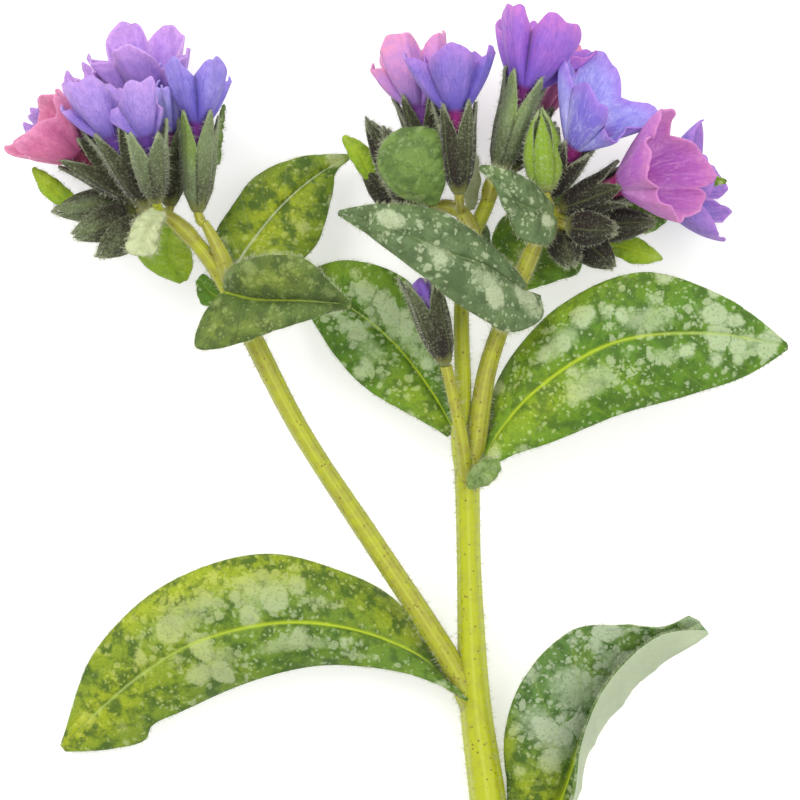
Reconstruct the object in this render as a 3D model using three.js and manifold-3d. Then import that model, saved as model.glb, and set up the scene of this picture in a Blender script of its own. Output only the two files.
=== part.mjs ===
// A cut flowering stem of lungwort, lying on its back: one stalk with three branches,
// spotted leaves, three heads of funnel flowers in hairy calyces, and a single bud.
// Millimetres, +Z up, +Y towards the flowers.
import * as THREE from "three";
import { mergeVertices } from "three/addons/utils/BufferGeometryUtils.js";
import Module from "manifold-3d";

const wasm = await Module();
wasm.setup();

// Driving dimensions
const frameSide = 100; // real width of the square frame that the outlines are read in
const frameDots = 800; // the same width in the frame's dots
const seenFrom = 450; // height over the table that the outlines are read from
const clearance = 0.38; // free space between pieces that touch
const bladeThickness = 0.7;
const petalThickness = 0.62;
const calyxWall = 0.6;
const calyxRadius = 2.3;
const toothFlare = 1.32; // how far a tooth's tip stands out, against the calyx radius
const tubeRadius = 1.15; // the part of a corolla that stands in its calyx
const throatPart = 0.88; // where a corolla opens, against the calyx length
const notchPart = 0.76; // how far out the notches between lobes lie, against the lobes' tips
const spineRadius = 1.0; // the short axis that a head's flower stalks leave
const stalkRadius = 0.62;
const evenness = 0.15; // facets that lie this close to flat are merged after a cut

// Colours
const stemGreen = "#a4a838";
const leafGreen = "#4e7a35";
const leafGrey = "#66805c";
const leafLime = "#7fa32c";
const calyxBrown = "#49472b";
const blueViolet = "#7068cc";
const lavender = "#9f93dc";
const magentaViolet = "#b06ac8";
const pink = "#cf6c9f";
const lilacPink = "#d795cc";

// A point of an outline: dots across, dots down, and its height over the table in millimetres.
// What stands higher is nearer the eye and looks larger, so it is drawn in.
function at([across, down, height]) {
  const dot = (frameSide / frameDots) * ((seenFrom - height) / seenFrom);
  return new THREE.Vector3((across - frameDots / 2) * dot, (frameDots / 2 - down) * dot, height);
}

// Stalks: a centre line, and a radius at each of its points
const stemPath = [
  [505, 935, 2.7], [488, 800, 3.6], [475, 700, 4.9], [470, 600, 6.6], [468, 520, 8.0], [467, 468, 9.0],
];
const stemRadii = [2.5, 2.4, 2.1, 1.8, 1.5, 1.55];
const leftPath = [
  [472, 706, 4.9], [454, 668, 6.0], [430, 628, 7.2], [375, 545, 8.8], [300, 430, 11.0], [256, 345, 12.4],
  [226, 284, 13.4], [203, 251, 14.2], [182, 228, 14.4],
];
const leftRadii = [1.5, 1.4, 1.35, 1.3, 1.2, 1.2, 1.25, 1.15, 0.95];
const middlePath = [
  [467, 486, 8.8], [460, 440, 9.6], [463, 400, 10.6], [462, 300, 12.3], [471, 240, 13.2], [486, 206, 13.9],
  [494, 184, 14.6],
];
const middleRadii = [1.2, 1.1, 1.0, 0.95, 0.9, 0.95, 0.85];
const rightPath = [
  [468, 488, 8.8], [475, 448, 10.0], [487, 371, 11.4], [500, 330, 12.2], [514, 293, 13.0], [532, 252, 13.9],
];
const rightRadii = [1.3, 1.3, 1.2, 1.1, 1.1, 1.1];
const budPath = [[467, 478, 9.6], [462, 440, 12.0], [453, 395, 13.6], [446, 366, 14.6]];
const budRadii = [1.0, 0.8, 0.75, 0.75];

// Leaves: rails from one margin over the midrib to the other margin, each from base to tip
const leafLowerLeft = [
  [[440, 674, 4.4], [428, 640, 3.4], [396, 602, 3.4], [349, 575, 5.0], [267, 555, 7.2], [175, 580, 7.2],
    [96, 651, 4.6], [63, 742, 1.4]],
  [[446, 680, 6.2], [419, 656, 6.0], [354, 630, 7.6], [281, 623, 9.4], [197, 642, 8.6], [133, 681, 5.8],
    [61, 746, 1.6]],
  [[468, 700, 8.4], [419, 677, 7.6], [335, 664, 7.2], [264, 676, 6.8], [180, 711, 5.0], [152, 725, 4.0],
    [145, 739, 3.2], [112, 748, 2.4], [66, 751, 1.4]],
];
const leafLowerRight = [
  [[510, 893, 2.6], [508, 850, 2.2], [508, 795, 2.6], [506, 727, 4.2], [528, 673, 6.4], [575, 629, 8.6],
    [620, 625, 9.6], [664, 627, 10.0], [690, 616, 9.4]],
  [[514, 900, 3.0], [535, 850, 2.4], [562, 798, 2.8], [581, 745, 4.2], [606, 695, 6.0], [641, 655, 7.8],
    [676, 637, 8.6], [700, 622, 9.0]],
  [[520, 908, 3.2], [552, 850, 3.0], [576, 800, 3.6], [589, 751, 5.2], [622, 703, 7.6], [656, 667, 9.6],
    [690, 645, 10.8], [708, 633, 9.6]],
  [[519, 906, 4.2], [547, 848, 5.6], [571, 800, 7.6], [580, 745, 9.6], [600, 693, 11.2], [632, 655, 12.2],
    [662, 634, 12.4], [704, 629, 10.2]],
];
const leafRight = [
  [[482, 452, 9.0], [489, 405, 8.6], [514, 355, 10.0], [560, 307, 12.4], [640, 273, 14.0], [727, 299, 13.2],
    [786, 343, 11.0]],
  [[481, 467, 10.6], [499, 433, 11.0], [536, 390, 12.6], [612, 343, 14.8], [709, 333, 14.0],
    [788, 346, 11.0]],
  [[470, 484, 12.2], [500, 461, 11.8], [553, 441, 12.0], [622, 413, 13.0], [690, 394, 13.2], [746, 375, 12.6],
    [787, 350, 11.0]],
];
const leafMiddleBack = [
  [[458, 420, 8.0], [451, 375, 6.6], [437, 322, 5.6], [407, 281, 5.0], [356, 261, 4.2], [321, 266, 3.2],
    [293, 283, 2.4]],
  [[455, 432, 8.4], [436, 398, 7.2], [408, 359, 5.8], [380, 330, 4.8], [345, 305, 3.8], [290, 286, 2.4]],
  [[448, 436, 9.0], [415, 417, 7.8], [373, 393, 6.6], [338, 359, 5.2], [313, 320, 3.8], [290, 290, 2.4]],
];
const leafUpperFront = [
  [[526, 284, 15.4], [503, 258, 17.6], [470, 230, 19.4], [431, 209, 20.2], [378, 205, 20.0],
    [340, 211, 18.6]],
  [[523, 291, 15.8], [489, 266, 19.0], [445, 251, 21.0], [388, 226, 21.2], [338, 213, 18.8]],
  [[540, 296, 14.8], [541, 318, 16.4], [508, 332, 18.6], [476, 314, 20.2], [447, 295, 20.8], [403, 260, 21.0],
    [374, 238, 20.4], [339, 216, 18.8]],
];
const leafLeftBack = [
  [[222, 272, 12.2], [216, 235, 9.2], [232, 208, 7.6], [255, 178, 6.4], [295, 159, 5.6], [346, 154, 5.0]],
  [[228, 278, 12.4], [250, 244, 9.4], [278, 209, 7.4], [313, 178, 6.0], [350, 156, 5.0]],
  [[236, 282, 12.2], [290, 268, 9.0], [318, 240, 7.4], [330, 200, 6.0], [336, 172, 5.4], [349, 160, 5.0]],
];
const leafLeftFront = [
  [[224, 284, 15.2], [231, 267, 19.0], [265, 256, 21.0], [305, 259, 21.0], [331, 284, 19.2],
    [351, 303, 17.0]],
  [[225, 292, 15.4], [257, 299, 17.2], [306, 301, 18.4], [352, 305, 17.0]],
  [[217, 298, 15.0], [201, 322, 16.4], [197, 348, 17.0], [243, 341, 18.4], [292, 324, 18.8], [334, 311, 18.0],
    [351, 309, 17.0]],
];
const leafMiddleSmall = [
  [[459, 262, 11.4], [451, 240, 12.2], [453, 224, 12.4], [467, 217, 12.2]],
  [[464, 265, 11.6], [468, 240, 12.8], [472, 217, 12.2]],
  [[469, 263, 11.4], [488, 250, 12.2], [488, 230, 12.4], [477, 218, 12.2]],
];
const leafRightFront = [
  [[552, 205, 18.4], [530, 182, 20.4], [503, 169, 21.6], [482, 165, 20.6]],
  [[554, 214, 18.6], [519, 203, 21.4], [498, 182, 21.6], [480, 167, 20.6]],
  [[556, 223, 18.4], [549, 243, 19.6], [523, 239, 21.2], [506, 212, 22.0], [495, 184, 21.6],
    [480, 171, 20.6]],
];
const leafRightBack = [
  [[511, 287, 11.0], [492, 245, 9.0], [500, 222, 8.2], [530, 200, 8.0], [560, 186, 8.0]],
  [[515, 290, 11.2], [530, 255, 9.4], [548, 215, 8.4], [563, 187, 8.0]],
  [[521, 292, 11.0], [555, 281, 9.6], [578, 272, 8.6], [581, 240, 8.0], [568, 190, 8.0]],
];
const bractLeftLow = [
  [[163, 222, 13.2], [138, 252, 9.6], [152, 270, 7.8], [180, 283, 6.8]],
  [[172, 226, 13.2], [170, 255, 9.4], [184, 281, 7.0]],
  [[180, 232, 13.2], [190, 249, 9.8], [192, 265, 8.0], [187, 280, 7.0]],
];
const bractLeftPale = [
  [[157, 208, 18.0], [130, 222, 20.0], [125, 240, 20.6], [134, 253, 20.6]],
  [[162, 211, 18.0], [148, 230, 20.4], [139, 255, 20.8]],
  [[166, 216, 18.0], [162, 229, 20.2], [155, 245, 20.8], [145, 254, 20.6]],
];
const bractLeftTip = [
  [[68, 210, 10.4], [44, 194, 10.0], [32, 170, 9.4]],
  [[72, 204, 10.6], [49, 186, 10.4], [33, 168, 9.4]],
  [[76, 197, 10.4], [55, 179, 10.0], [35, 167, 9.4]],
];
const bractMiddle = [
  [[426, 204, 17.0], [395, 192, 18.6], [378, 165, 19.0], [385, 141, 19.0], [402, 129, 18.6]],
  [[431, 206, 17.0], [424, 175, 19.8], [416, 145, 20.4], [411, 127, 19.2]],
  [[437, 204, 17.0], [445, 180, 18.6], [447, 155, 19.0], [444, 135, 19.2], [420, 127, 19.2]],
];
const bractMiddleSide = [
  [[366, 180, 10.0], [352, 160, 9.6], [342, 139, 9.2]],
  [[371, 178, 10.2], [358, 152, 10.0], [343, 136, 9.2]],
  [[376, 172, 10.0], [367, 148, 9.6], [346, 135, 9.2]],
];
const bractRightTip = [
  [[606, 236, 9.6], [638, 239, 9.2], [661, 256, 8.8]],
  [[604, 243, 9.8], [634, 250, 9.6], [663, 259, 8.8]],
  [[606, 250, 9.6], [634, 263, 9.2], [660, 261, 8.8]],
];
const bractRightUnder = [
  [[606, 206, 11.6], [650, 204, 11.0], [667, 212, 10.6]],
  [[604, 214, 11.8], [640, 216, 11.6], [669, 217, 10.6]],
  [[606, 222, 11.6], [645, 233, 11.0], [666, 222, 10.6]],
];
const bractRightFar = [
  [[640, 182, 8.8], [690, 172, 8.4], [725, 179, 8.0]],
  [[638, 190, 9.0], [690, 181, 8.8], [727, 181, 8.0]],
  [[640, 197, 8.8], [690, 189, 8.4], [725, 184, 8.0]],
];

const bractRightBase = [
  [[468, 477, 12.6], [480, 462, 13.3], [499, 459, 12.8]],
  [[467, 485, 12.8], [483, 473, 13.6], [500, 464, 12.9]],
  [[469, 489, 12.8], [490, 483, 13.4], [501, 469, 12.9]],
];
const bractMiddlePale = [
  [[466, 209, 12.8], [464, 180, 12.4], [470, 150, 12.0]],
  [[470, 210, 12.8], [472, 180, 12.6], [473, 148, 12.0]],
  [[475, 209, 12.8], [480, 180, 12.4], [476, 150, 12.0]],
];
const bractLeftThin = [
  [[214, 166, 12.4], [216, 138, 13.0], [222, 106, 13.6]],
  [[217, 165, 12.4], [219, 137, 13.2], [224, 104, 13.6]],
  [[220, 164, 12.4], [222, 136, 13.0], [225, 106, 13.6]],
];
const leafLeftSmall = [
  [[226, 296, 11.4], [212, 280, 11.0], [203, 274, 10.6]],
  [[224, 300, 11.6], [208, 290, 11.4], [199, 277, 10.6]],
  [[222, 304, 11.4], [203, 304, 11.0], [196, 282, 10.6]],
];

// Closed bodies, before and after they are cut clear of each other
function solidFrom(geometry, growth = 0) {
  const bare = geometry.clone();
  bare.deleteAttribute("normal");
  bare.deleteAttribute("uv");
  const merged = mergeVertices(bare, 1e-4);
  const corners = Float32Array.from(merged.attributes.position.array);
  const index = Array.from(merged.index.array);
  const triangles = [];
  let volume = 0;
  const a = new THREE.Vector3();
  const b = new THREE.Vector3();
  const c = new THREE.Vector3();
  for (let i = 0; i < index.length; i += 3) {
    const [p, q, r] = index.slice(i, i + 3);
    if (p === q || q === r || r === p) continue;
    triangles.push(p, q, r);
    a.fromArray(corners, p * 3);
    b.fromArray(corners, q * 3);
    c.fromArray(corners, r * 3);
    volume += a.dot(b.cross(c));
  }
  if (volume < 0) triangles.reverse();
  if (growth > 0) growCorners(corners, triangles, growth);
  const mesh = new wasm.Mesh({
    numProp: 3,
    vertProperties: corners,
    triVerts: Uint32Array.from(triangles),
  });
  return new wasm.Manifold(mesh);
}

function growCorners(corners, triangles, growth) {
  const skin = new THREE.BufferGeometry();
  skin.setAttribute("position", new THREE.BufferAttribute(Float32Array.from(corners), 3));
  skin.setIndex(triangles);
  skin.computeVertexNormals();
  const normals = skin.attributes.normal.array;
  for (let i = 0; i < corners.length; i += 1) corners[i] += normals[i] * growth;
}

function largestBody(solid) {
  const bodies = solid.decompose();
  bodies.sort((first, second) => second.volume() - first.volume());
  return bodies[0];
}

function boxesMeet(first, second) {
  const one = first.boundingBox();
  const two = second.boundingBox();
  return [0, 1, 2].every((axis) => one.min[axis] < two.max[axis] && two.min[axis] < one.max[axis]);
}

const group = new THREE.Group();
const placed = [];

// Adds one node: its pieces are fused, and it is cut clear of the nodes added before it
function addNode(name, pieces, color, roughness = 0.6) {
  let solid = wasm.Manifold.union(pieces.map((piece) => solidFrom(piece)));
  const grown = solid.add(wasm.Manifold.union(pieces.map((piece) => solidFrom(piece, clearance))));
  for (const other of placed) {
    if (boxesMeet(solid, other)) solid = solid.subtract(other);
  }
  solid = largestBody(solid.simplify(evenness));
  placed.push(grown.simplify(evenness / 2));
  const { vertProperties, triVerts } = solid.getMesh();
  const geometry = new THREE.BufferGeometry();
  geometry.setAttribute("position", new THREE.BufferAttribute(vertProperties, 3));
  geometry.setIndex(new THREE.BufferAttribute(triVerts, 1));
  geometry.computeVertexNormals();
  const mesh = new THREE.Mesh(geometry, new THREE.MeshStandardMaterial({ color, roughness, metalness: 0 }));
  mesh.name = name;
  group.add(mesh);
}

// A cylinder bent along a centre line, with a radius at each point of the line
function stalk(path, radii, sides = 8, steps = 12) {
  const line = new THREE.CatmullRomCurve3(path.map(at));
  const thickness = new THREE.CatmullRomCurve3(radii.map((radius, i) => new THREE.Vector3(i, radius, 0)));
  const frames = line.computeFrenetFrames(steps, false);
  const geometry = new THREE.CylinderGeometry(1, 1, 1, sides, steps);
  const position = geometry.attributes.position;
  const point = new THREE.Vector3();
  for (let i = 0; i < position.count; i += 1) {
    const step = Math.round((position.getY(i) + 0.5) * steps);
    const radius = thickness.getPoint(step / steps).y;
    point.copy(line.getPointAt(step / steps));
    point.addScaledVector(frames.binormals[step], position.getX(i) * radius);
    point.addScaledVector(frames.normals[step], position.getZ(i) * radius);
    position.setXYZ(i, point.x, point.y, point.z);
  }
  return geometry;
}

// A leaf between rails: each span bulges, and both margins are waved
function leaf(rails, { rows = 10, spans = [3, 3], bulge = 0.1, wave = 0.5, waves = 3, phase = 0 } = {}) {
  const lines = rails.map((rail) => new THREE.CatmullRomCurve3(rail.map(at), false, "centripetal"));
  const columns = spans.reduce((sum, span) => sum + span, 0);
  const start = new THREE.Vector3();
  const end = new THREE.Vector3();

  function surface(row, column) {
    const along = THREE.MathUtils.clamp(row / rows, 0, 1);
    const place = THREE.MathUtils.clamp(column, 0, columns);
    let span = 0;
    let passed = 0;
    while (span < spans.length - 1 && place > passed + spans[span]) {
      passed += spans[span];
      span += 1;
    }
    const part = (place - passed) / spans[span];
    lines[span].getPointAt(along, start);
    lines[span + 1].getPointAt(along, end);
    const width = start.distanceTo(end);
    const point = start.clone().lerp(end, part);
    const edge = Math.abs((2 * place) / columns - 1) ** 3;
    const fade = Math.sin(Math.PI * along);
    const side = place < columns / 2 ? 0 : Math.PI * 0.7;
    point.z += bulge * width * 4 * part * (1 - part) * fade;
    point.z += wave * edge * fade * Math.sin(2 * Math.PI * waves * along + phase + side);
    return point;
  }

  const corners = [];
  const alongEdge = new THREE.Vector3();
  const acrossEdge = new THREE.Vector3();
  for (const face of [0.5, -0.5]) {
    for (let row = 0; row <= rows; row += 1) {
      for (let column = 0; column <= columns; column += 1) {
        alongEdge.subVectors(surface(row + 0.4, column), surface(row - 0.4, column));
        acrossEdge.subVectors(surface(row, column + 0.4), surface(row, column - 0.4));
        const normal = acrossEdge.cross(alongEdge).normalize();
        corners.push(...surface(row, column).addScaledVector(normal, face * bladeThickness).toArray());
      }
    }
  }
  return sheetGeometry(corners, rows, columns);
}

// Closes two like grids of corners, upper and lower, into one thin body
function sheetGeometry(corners, rows, columns) {
  const width = columns + 1;
  const lower = (rows + 1) * width;
  const index = [];
  for (let row = 0; row < rows; row += 1) {
    for (let column = 0; column < columns; column += 1) {
      const a = row * width + column;
      const b = a + 1;
      const c = a + width;
      const d = c + 1;
      index.push(a, b, d, a, d, c);
      index.push(lower + a, lower + d, lower + b, lower + a, lower + c, lower + d);
    }
  }
  const rim = [];
  for (let column = 0; column < columns; column += 1) rim.push(column);
  for (let row = 0; row < rows; row += 1) rim.push(row * width + columns);
  for (let column = columns; column > 0; column -= 1) rim.push(rows * width + column);
  for (let row = rows; row > 0; row -= 1) rim.push(row * width);
  rim.forEach((here, i) => {
    const next = rim[(i + 1) % rim.length];
    index.push(here, lower + next, next, here, lower + here, lower + next);
  });
  const geometry = new THREE.BufferGeometry();
  geometry.setAttribute("position", new THREE.Float32BufferAttribute(corners, 3));
  geometry.setIndex(index);
  return geometry;
}

// A closed body of rings: pointAt gives the place of each corner
function ringBody(segments, ringCount, pointAt) {
  const profile = Array.from({ length: ringCount }, (_, ring) => new THREE.Vector2(1, ring));
  const geometry = new THREE.LatheGeometry(profile, segments);
  const position = geometry.attributes.position;
  for (let i = 0; i < position.count; i += 1) {
    const ring = i % ringCount;
    const segment = Math.floor(i / ringCount) % segments;
    position.setXYZ(i, ...pointAt(ring, segment).toArray());
  }
  return geometry;
}

// What stands on root and points at tip: its start, and the ways to its right, along it and to its front
function standOf(root, tip) {
  const start = at(root);
  const axis = at(tip).sub(start).normalize();
  const turn = new THREE.Quaternion().setFromUnitVectors(new THREE.Vector3(0, 1, 0), axis);
  const right = new THREE.Vector3(1, 0, 0).applyQuaternion(turn);
  const front = new THREE.Vector3(0, 0, 1).applyQuaternion(turn);
  return { start, axis, right, front };
}

// A turned body: ringAt gives the radius and the height of each corner
function turned(root, tip, roll, segments, ringCount, ringAt) {
  const { start, axis, right, front } = standOf(root, tip);
  return ringBody(segments, ringCount, (ring, segment) => {
    const angle = (segment / segments) * 2 * Math.PI + roll;
    const [radius, height] = ringAt(ring, segment);
    return start.clone().addScaledVector(axis, height)
      .addScaledVector(right, radius * Math.sin(angle))
      .addScaledVector(front, radius * Math.cos(angle));
  });
}

const lobes = 5;
const segmentsPerLobe = 4;
const lobeBulge = 0.5; // how far a lobe is wider than the gap between its notches
const lobeRound = [2.3, 0.56]; // powers that round a lobe's edge
const cupReach = 0.055; // how far the limb bellies out at its middle, against its length

// One corolla: a tube that stands in the calyx and opens into a cup with five rounded lobes.
// The tips are the lobes' outer ends, the first one nearest the eye, then round by the right.
function corolla({ root, mouth, calyx, tips, notch = notchPart }) {
  const { start, axis, right, front } = standOf(root, mouth);
  const half = petalThickness / 2;
  const foot = start.clone().addScaledVector(axis, calyx * 0.45 + clearance);
  const throat = start.clone().addScaledVector(axis, calyx * throatPart);
  const ends = tips.map(at);
  const notches = ends.map((end, i) => {
    const middle = end.clone().lerp(ends[(i + lobes - 1) % lobes], 0.5);
    return throat.clone().lerp(middle, notch);
  });
  const toFirst = ends[0].clone().sub(throat);
  const roll = Math.atan2(toFirst.dot(right), toFirst.dot(front));

  function edgeAt(segment) {
    const lobe = Math.floor(segment / segmentsPerLobe);
    const side = (2 * (segment % segmentsPerLobe)) / segmentsPerLobe - 1;
    const from = notches[lobe];
    const to = notches[(lobe + 1) % lobes];
    const middle = from.clone().lerp(to, 0.5);
    const across = (side * (1 + lobeBulge * (1 - side ** 2)) + 1) / 2;
    const reach = (1 - Math.abs(side) ** lobeRound[0]) ** lobeRound[1];
    return from.clone().lerp(to, across).addScaledVector(ends[lobe].clone().sub(middle), reach);
  }

  return ringBody(lobes * segmentsPerLobe, 8, (ring, segment) => {
    const angle = roll + (segment / segmentsPerLobe - 0.5) * ((2 * Math.PI) / lobes);
    const outward = right.clone().multiplyScalar(Math.sin(angle)).addScaledVector(front, Math.cos(angle));
    if (ring === 0) return foot.clone();
    if (ring === 1) return foot.clone().addScaledVector(outward, tubeRadius * 0.9);
    const base = throat.clone().addScaledVector(outward, tubeRadius);
    if (ring === 2) return base.addScaledVector(axis, -half);
    if (ring === 7) return throat.clone().addScaledVector(axis, half);
    const edge = edgeAt(segment);
    const onward = edge.clone().sub(base);
    const around = outward.clone().cross(axis);
    const wall = around.cross(onward).normalize().multiplyScalar(-half);
    if (ring === 4) return edge.add(wall);
    if (ring === 5) return edge.sub(wall);
    const belly = base.lerp(edge, 0.5).addScaledVector(outward, onward.length() * cupReach);
    return ring === 3 ? belly.add(wall) : belly.sub(wall);
  });
}

const toothTurn = Math.PI / 5; // turns two teeth to the eye, with a notch between them

// One open calyx: a five-angled cup with five pointed teeth
function calyxCup({ root, mouth, calyx, roll = toothTurn, radius = calyxRadius }) {
  const notch = calyx * 0.7;
  const inner = radius - calyxWall;
  function ringAt(ring, segment) {
    const tooth = segment % 2 === 0;
    const angled = tooth ? 1.04 : 0.94;
    if (ring === 0) return [0, 0];
    if (ring === 1) return [radius * 0.36, 0];
    if (ring === 2) return [radius * 0.8 * angled, calyx * 0.22];
    if (ring === 3) return [radius * angled, calyx * 0.6];
    if (ring === 4) return tooth ? [radius * toothFlare, calyx] : [radius, notch];
    if (ring === 5) return tooth ? [radius * toothFlare - calyxWall * 0.7, calyx] : [inner, notch];
    if (ring === 6) return [inner, calyx * 0.5];
    return [0, calyx * 0.45];
  }
  return turned(root, mouth, roll, 10, 8, ringAt);
}

// One closed bud: a five-ridged spindle whose teeth lean together
function closedBud({ root, tip, radius = 2.1, roll = 0 }) {
  const height = at(root).distanceTo(at(tip));
  function ringAt(ring, segment) {
    const ridge = segment % 2 === 0;
    if (ring === 0) return [0, 0];
    if (ring === 1) return [radius * 0.5, height * 0.02];
    if (ring === 2) return [radius * (ridge ? 1.05 : 0.92), height * 0.38];
    if (ring === 3) return [radius * (ridge ? 0.85 : 0.7), height * 0.68];
    if (ring === 4) return ridge ? [radius * 0.3, height] : [radius * 0.42, height * 0.8];
    return [0, height * 0.78];
  }
  return turned(root, tip, roll, 10, 6, ringAt);
}

// Flowers: root is where the stalk meets the calyx, mouth the way that it points, calyx its length
const leftInnerFlowers = {
  flower_left_inner: {
    root: [198, 212, 15], mouth: [197, 62, 17], calyx: 12.4, color: blueViolet,
    tips: [[219, 62, 20], [229, 79, 14], [196, 74, 10], [170, 78, 12], [171, 61, 20]],
  },
};
const leftFlowers = {
  flower_left_top: {
    root: [168, 180, 8], mouth: [142, 36, 7], calyx: 10, color: lavender, notch: 0.82,
    tips: [[133, 48, 14], [188, 55, 11], [172, 27, 4.5], [120, 28, 4.5], [87, 61, 9]],
  },
  flower_left_shoulder: {
    root: [148, 206, 18], mouth: [85, 84, 21], calyx: 11, color: blueViolet, notch: 0.9,
    tips: [[81, 82, 25], [132, 100, 19], [114, 86, 14], [88, 88, 13], [61, 112, 19]],
  },
  flower_left_front: {
    root: [156, 202, 19], mouth: [139, 84, 26], calyx: 10.5, color: lavender, notch: 0.9,
    tips: [[139, 81, 28], [162, 108, 25], [151, 90, 21], [126, 89, 19], [105, 114, 21]],
  },
  flower_left_slim: {
    root: [170, 206, 13], mouth: [168, 84, 14], calyx: 10.2, color: lavender,
    tips: [[163, 86, 19], [180, 94, 16], [177, 78, 9], [160, 66, 8], [154, 86, 14]],
  },
  flower_left_rear: {
    root: [134, 186, 7], mouth: [72, 70, 5], calyx: 10.5, color: lavender,
    tips: [[80, 78, 11], [99, 74, 8], [88, 66, 1.3], [66, 74, 0.8], [61, 88, 6]],
  },
  flower_left_edge: {
    root: [110, 180, 6], mouth: [28, 108, 4], calyx: 9, color: blueViolet,
    tips: [[30, 112, 8], [42, 98, 6.5], [40, 104, 0.95], [26, 128, 0.85], [27, 133, 5]],
  },
  flower_left_pink: {
    root: [140, 198, 14.5], mouth: [38, 127, 15.5], calyx: 10.5, color: pink,
    tips: [[21, 140, 21], [59, 91, 19], [45, 97, 11], [9, 147, 10], [30, 156, 17]],
  },
};
const middleFlowers = {
  flower_middle_left: {
    root: [434, 194, 12.5], mouth: [409, 48, 13], calyx: 12.5, color: lilacPink,
    tips: [[391, 38, 17], [445, 34, 14], [436, 40, 6], [388, 52, 6], [370, 70, 12]],
  },
  flower_middle_blue: {
    root: [459, 194, 18], mouth: [454, 54, 21.5], calyx: 11.6, color: blueViolet,
    tips: [[452, 45, 26], [493, 48, 22], [478, 58, 13], [430, 56, 13], [403, 56, 21]],
  },
};
const middleTopFlowers = {
  flower_middle_top: {
    root: [498, 174, 15.5], mouth: [543, 24, 18], calyx: 12.5, color: magentaViolet,
    tips: [[569, 24, 22], [595, 54, 14], [548, 27, 9], [499, 24, 10], [509, 6, 20]],
  },
  flower_middle_rear: {
    root: [508, 172, 10], mouth: [558, 66, 7], calyx: 9, color: pink,
    tips: [[566, 70, 12], [585, 62, 8], [582, 52, 3], [553, 56, 3], [545, 76, 8]],
  },
};
const rightFlowers = {
  flower_right_blue: {
    root: [549, 196, 14], mouth: [598, 100, 23], calyx: 9.5, color: lavender,
    tips: [[592, 103, 27], [613, 139, 24], [656, 112, 17], [603, 57, 14], [562, 56, 18]],
  },
  flower_right_pink: {
    root: [560, 208, 15], mouth: [678, 162, 18], calyx: 9, roll: 0, color: pink,
    tips: [[646, 158, 26.5], [672, 217, 23], [701, 209, 15.5], [706, 160, 14.5], [666, 108, 20]],
  },
  flower_right_rear: {
    root: [592, 206, 8.5], mouth: [704, 184, 7.5], calyx: 9, color: blueViolet,
    tips: [[712, 172, 10.5], [719, 240, 8], [726, 214, 1.5], [724, 184, 1.0], [701, 120, 8]],
  },
};
const leftBuds = [
  { root: [134, 202, 11], tip: [52, 211, 10] },
  { root: [136, 212, 13], tip: [70, 237, 14] },
  { root: [142, 220, 14], tip: [97, 257, 15] },
];
const middleBuds = [
  { root: [420, 212, 13], tip: [366, 118, 12] },
  { root: [414, 212, 15], tip: [384, 126, 14] },
  { root: [412, 214, 10], tip: [362, 168, 9] },
];
const rightBuds = [
  { root: [545, 192, 18], tip: [541, 108, 20], radius: 2.3 },
  { root: [584, 226, 12], tip: [656, 222, 12] },
  { root: [566, 226, 16], tip: [618, 230, 17] },
  { root: [560, 232, 14], tip: [572, 269, 15] },
  { root: [574, 234, 12], tip: [615, 268, 12] },
];
const leftInnerSpine = [[226, 268, 14.6], [214, 240, 15], [204, 222, 15]];
const leftSpine = [[183, 229, 14.4], [164, 214, 14.6], [150, 208, 14.2]];
const middleSpine = [[472, 236, 14.6], [461, 212, 15], [444, 206, 14.8], [426, 210, 13.6]];
const middleTopSpine = [[494, 180, 14.8], [498, 174, 14.2], [504, 172, 13.0]];
const rightSpine = [[532, 252, 13.9], [545, 226, 14.8], [556, 218, 14.8], [570, 220, 14.2]];

function nearestOf(spine, root) {
  const distance = (point) => at(point).distanceTo(at(root));
  return spine.reduce((best, point) => (distance(point) < distance(best) ? point : best));
}

// One head: a short axis, a stalk to each calyx and bud, and the calyces and buds, fused
function headPieces(spine, flowers, buds) {
  const stalks = [...Object.values(flowers), ...buds].map(({ root, mouth, tip }) => {
    const foot = nearestOf(spine, root);
    const onward = at(mouth ?? tip).sub(at(root)).normalize();
    const [across, down, height] = root;
    const dot = frameSide / frameDots;
    const sunk = [across + onward.x / dot, down - onward.y / dot, height + onward.z];
    const bend = [(foot[0] + across) / 2 - onward.x * 4, (foot[1] + down) / 2 + onward.y * 4,
      (foot[2] + height) / 2];
    return stalk([foot, bend, root, sunk], [stalkRadius, stalkRadius, stalkRadius * 1.3, stalkRadius], 5, 2);
  });
  const cups = Object.values(flowers).map((flower) => calyxCup(flower));
  const closed = buds.map((bud) => closedBud(bud));
  const radii = spine.map(() => spineRadius);
  return [stalk(spine, radii, 7, 4), ...stalks, ...cups, ...closed];
}

const stems = [
  stalk(stemPath, stemRadii, 9, 11),
  stalk(leftPath, leftRadii, 8, 12),
  stalk(middlePath, middleRadii, 7, 9),
  stalk(rightPath, rightRadii, 8, 7),
  stalk(budPath, budRadii, 7, 5),
];
addNode("stem", stems, stemGreen, 0.5);

addNode("leaf_lower_left", [leaf(leafLowerLeft, { rows: 12, waves: 4, wave: 0.7 })], leafLime);
addNode("leaf_lower_right", [leaf(leafLowerRight, { rows: 12, spans: [3, 2, 2], wave: 0.4 })], leafGreen);
addNode("leaf_right", [leaf(leafRight, { rows: 13, waves: 4, wave: 0.6 })], leafLime);
addNode("leaf_upper_front", [leaf(leafUpperFront, { rows: 12, wave: 0.6 })], leafGrey);
addNode("leaf_left_front", [leaf(leafLeftFront, { rows: 10, wave: 0.5 })], leafGrey);
addNode("leaf_right_front", [leaf(leafRightFront, { rows: 7, spans: [2, 2], wave: 0.3 })], leafGrey);
addNode("leaf_middle_back", [leaf(leafMiddleBack, { rows: 12, wave: 0.6 })], leafGreen);

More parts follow.
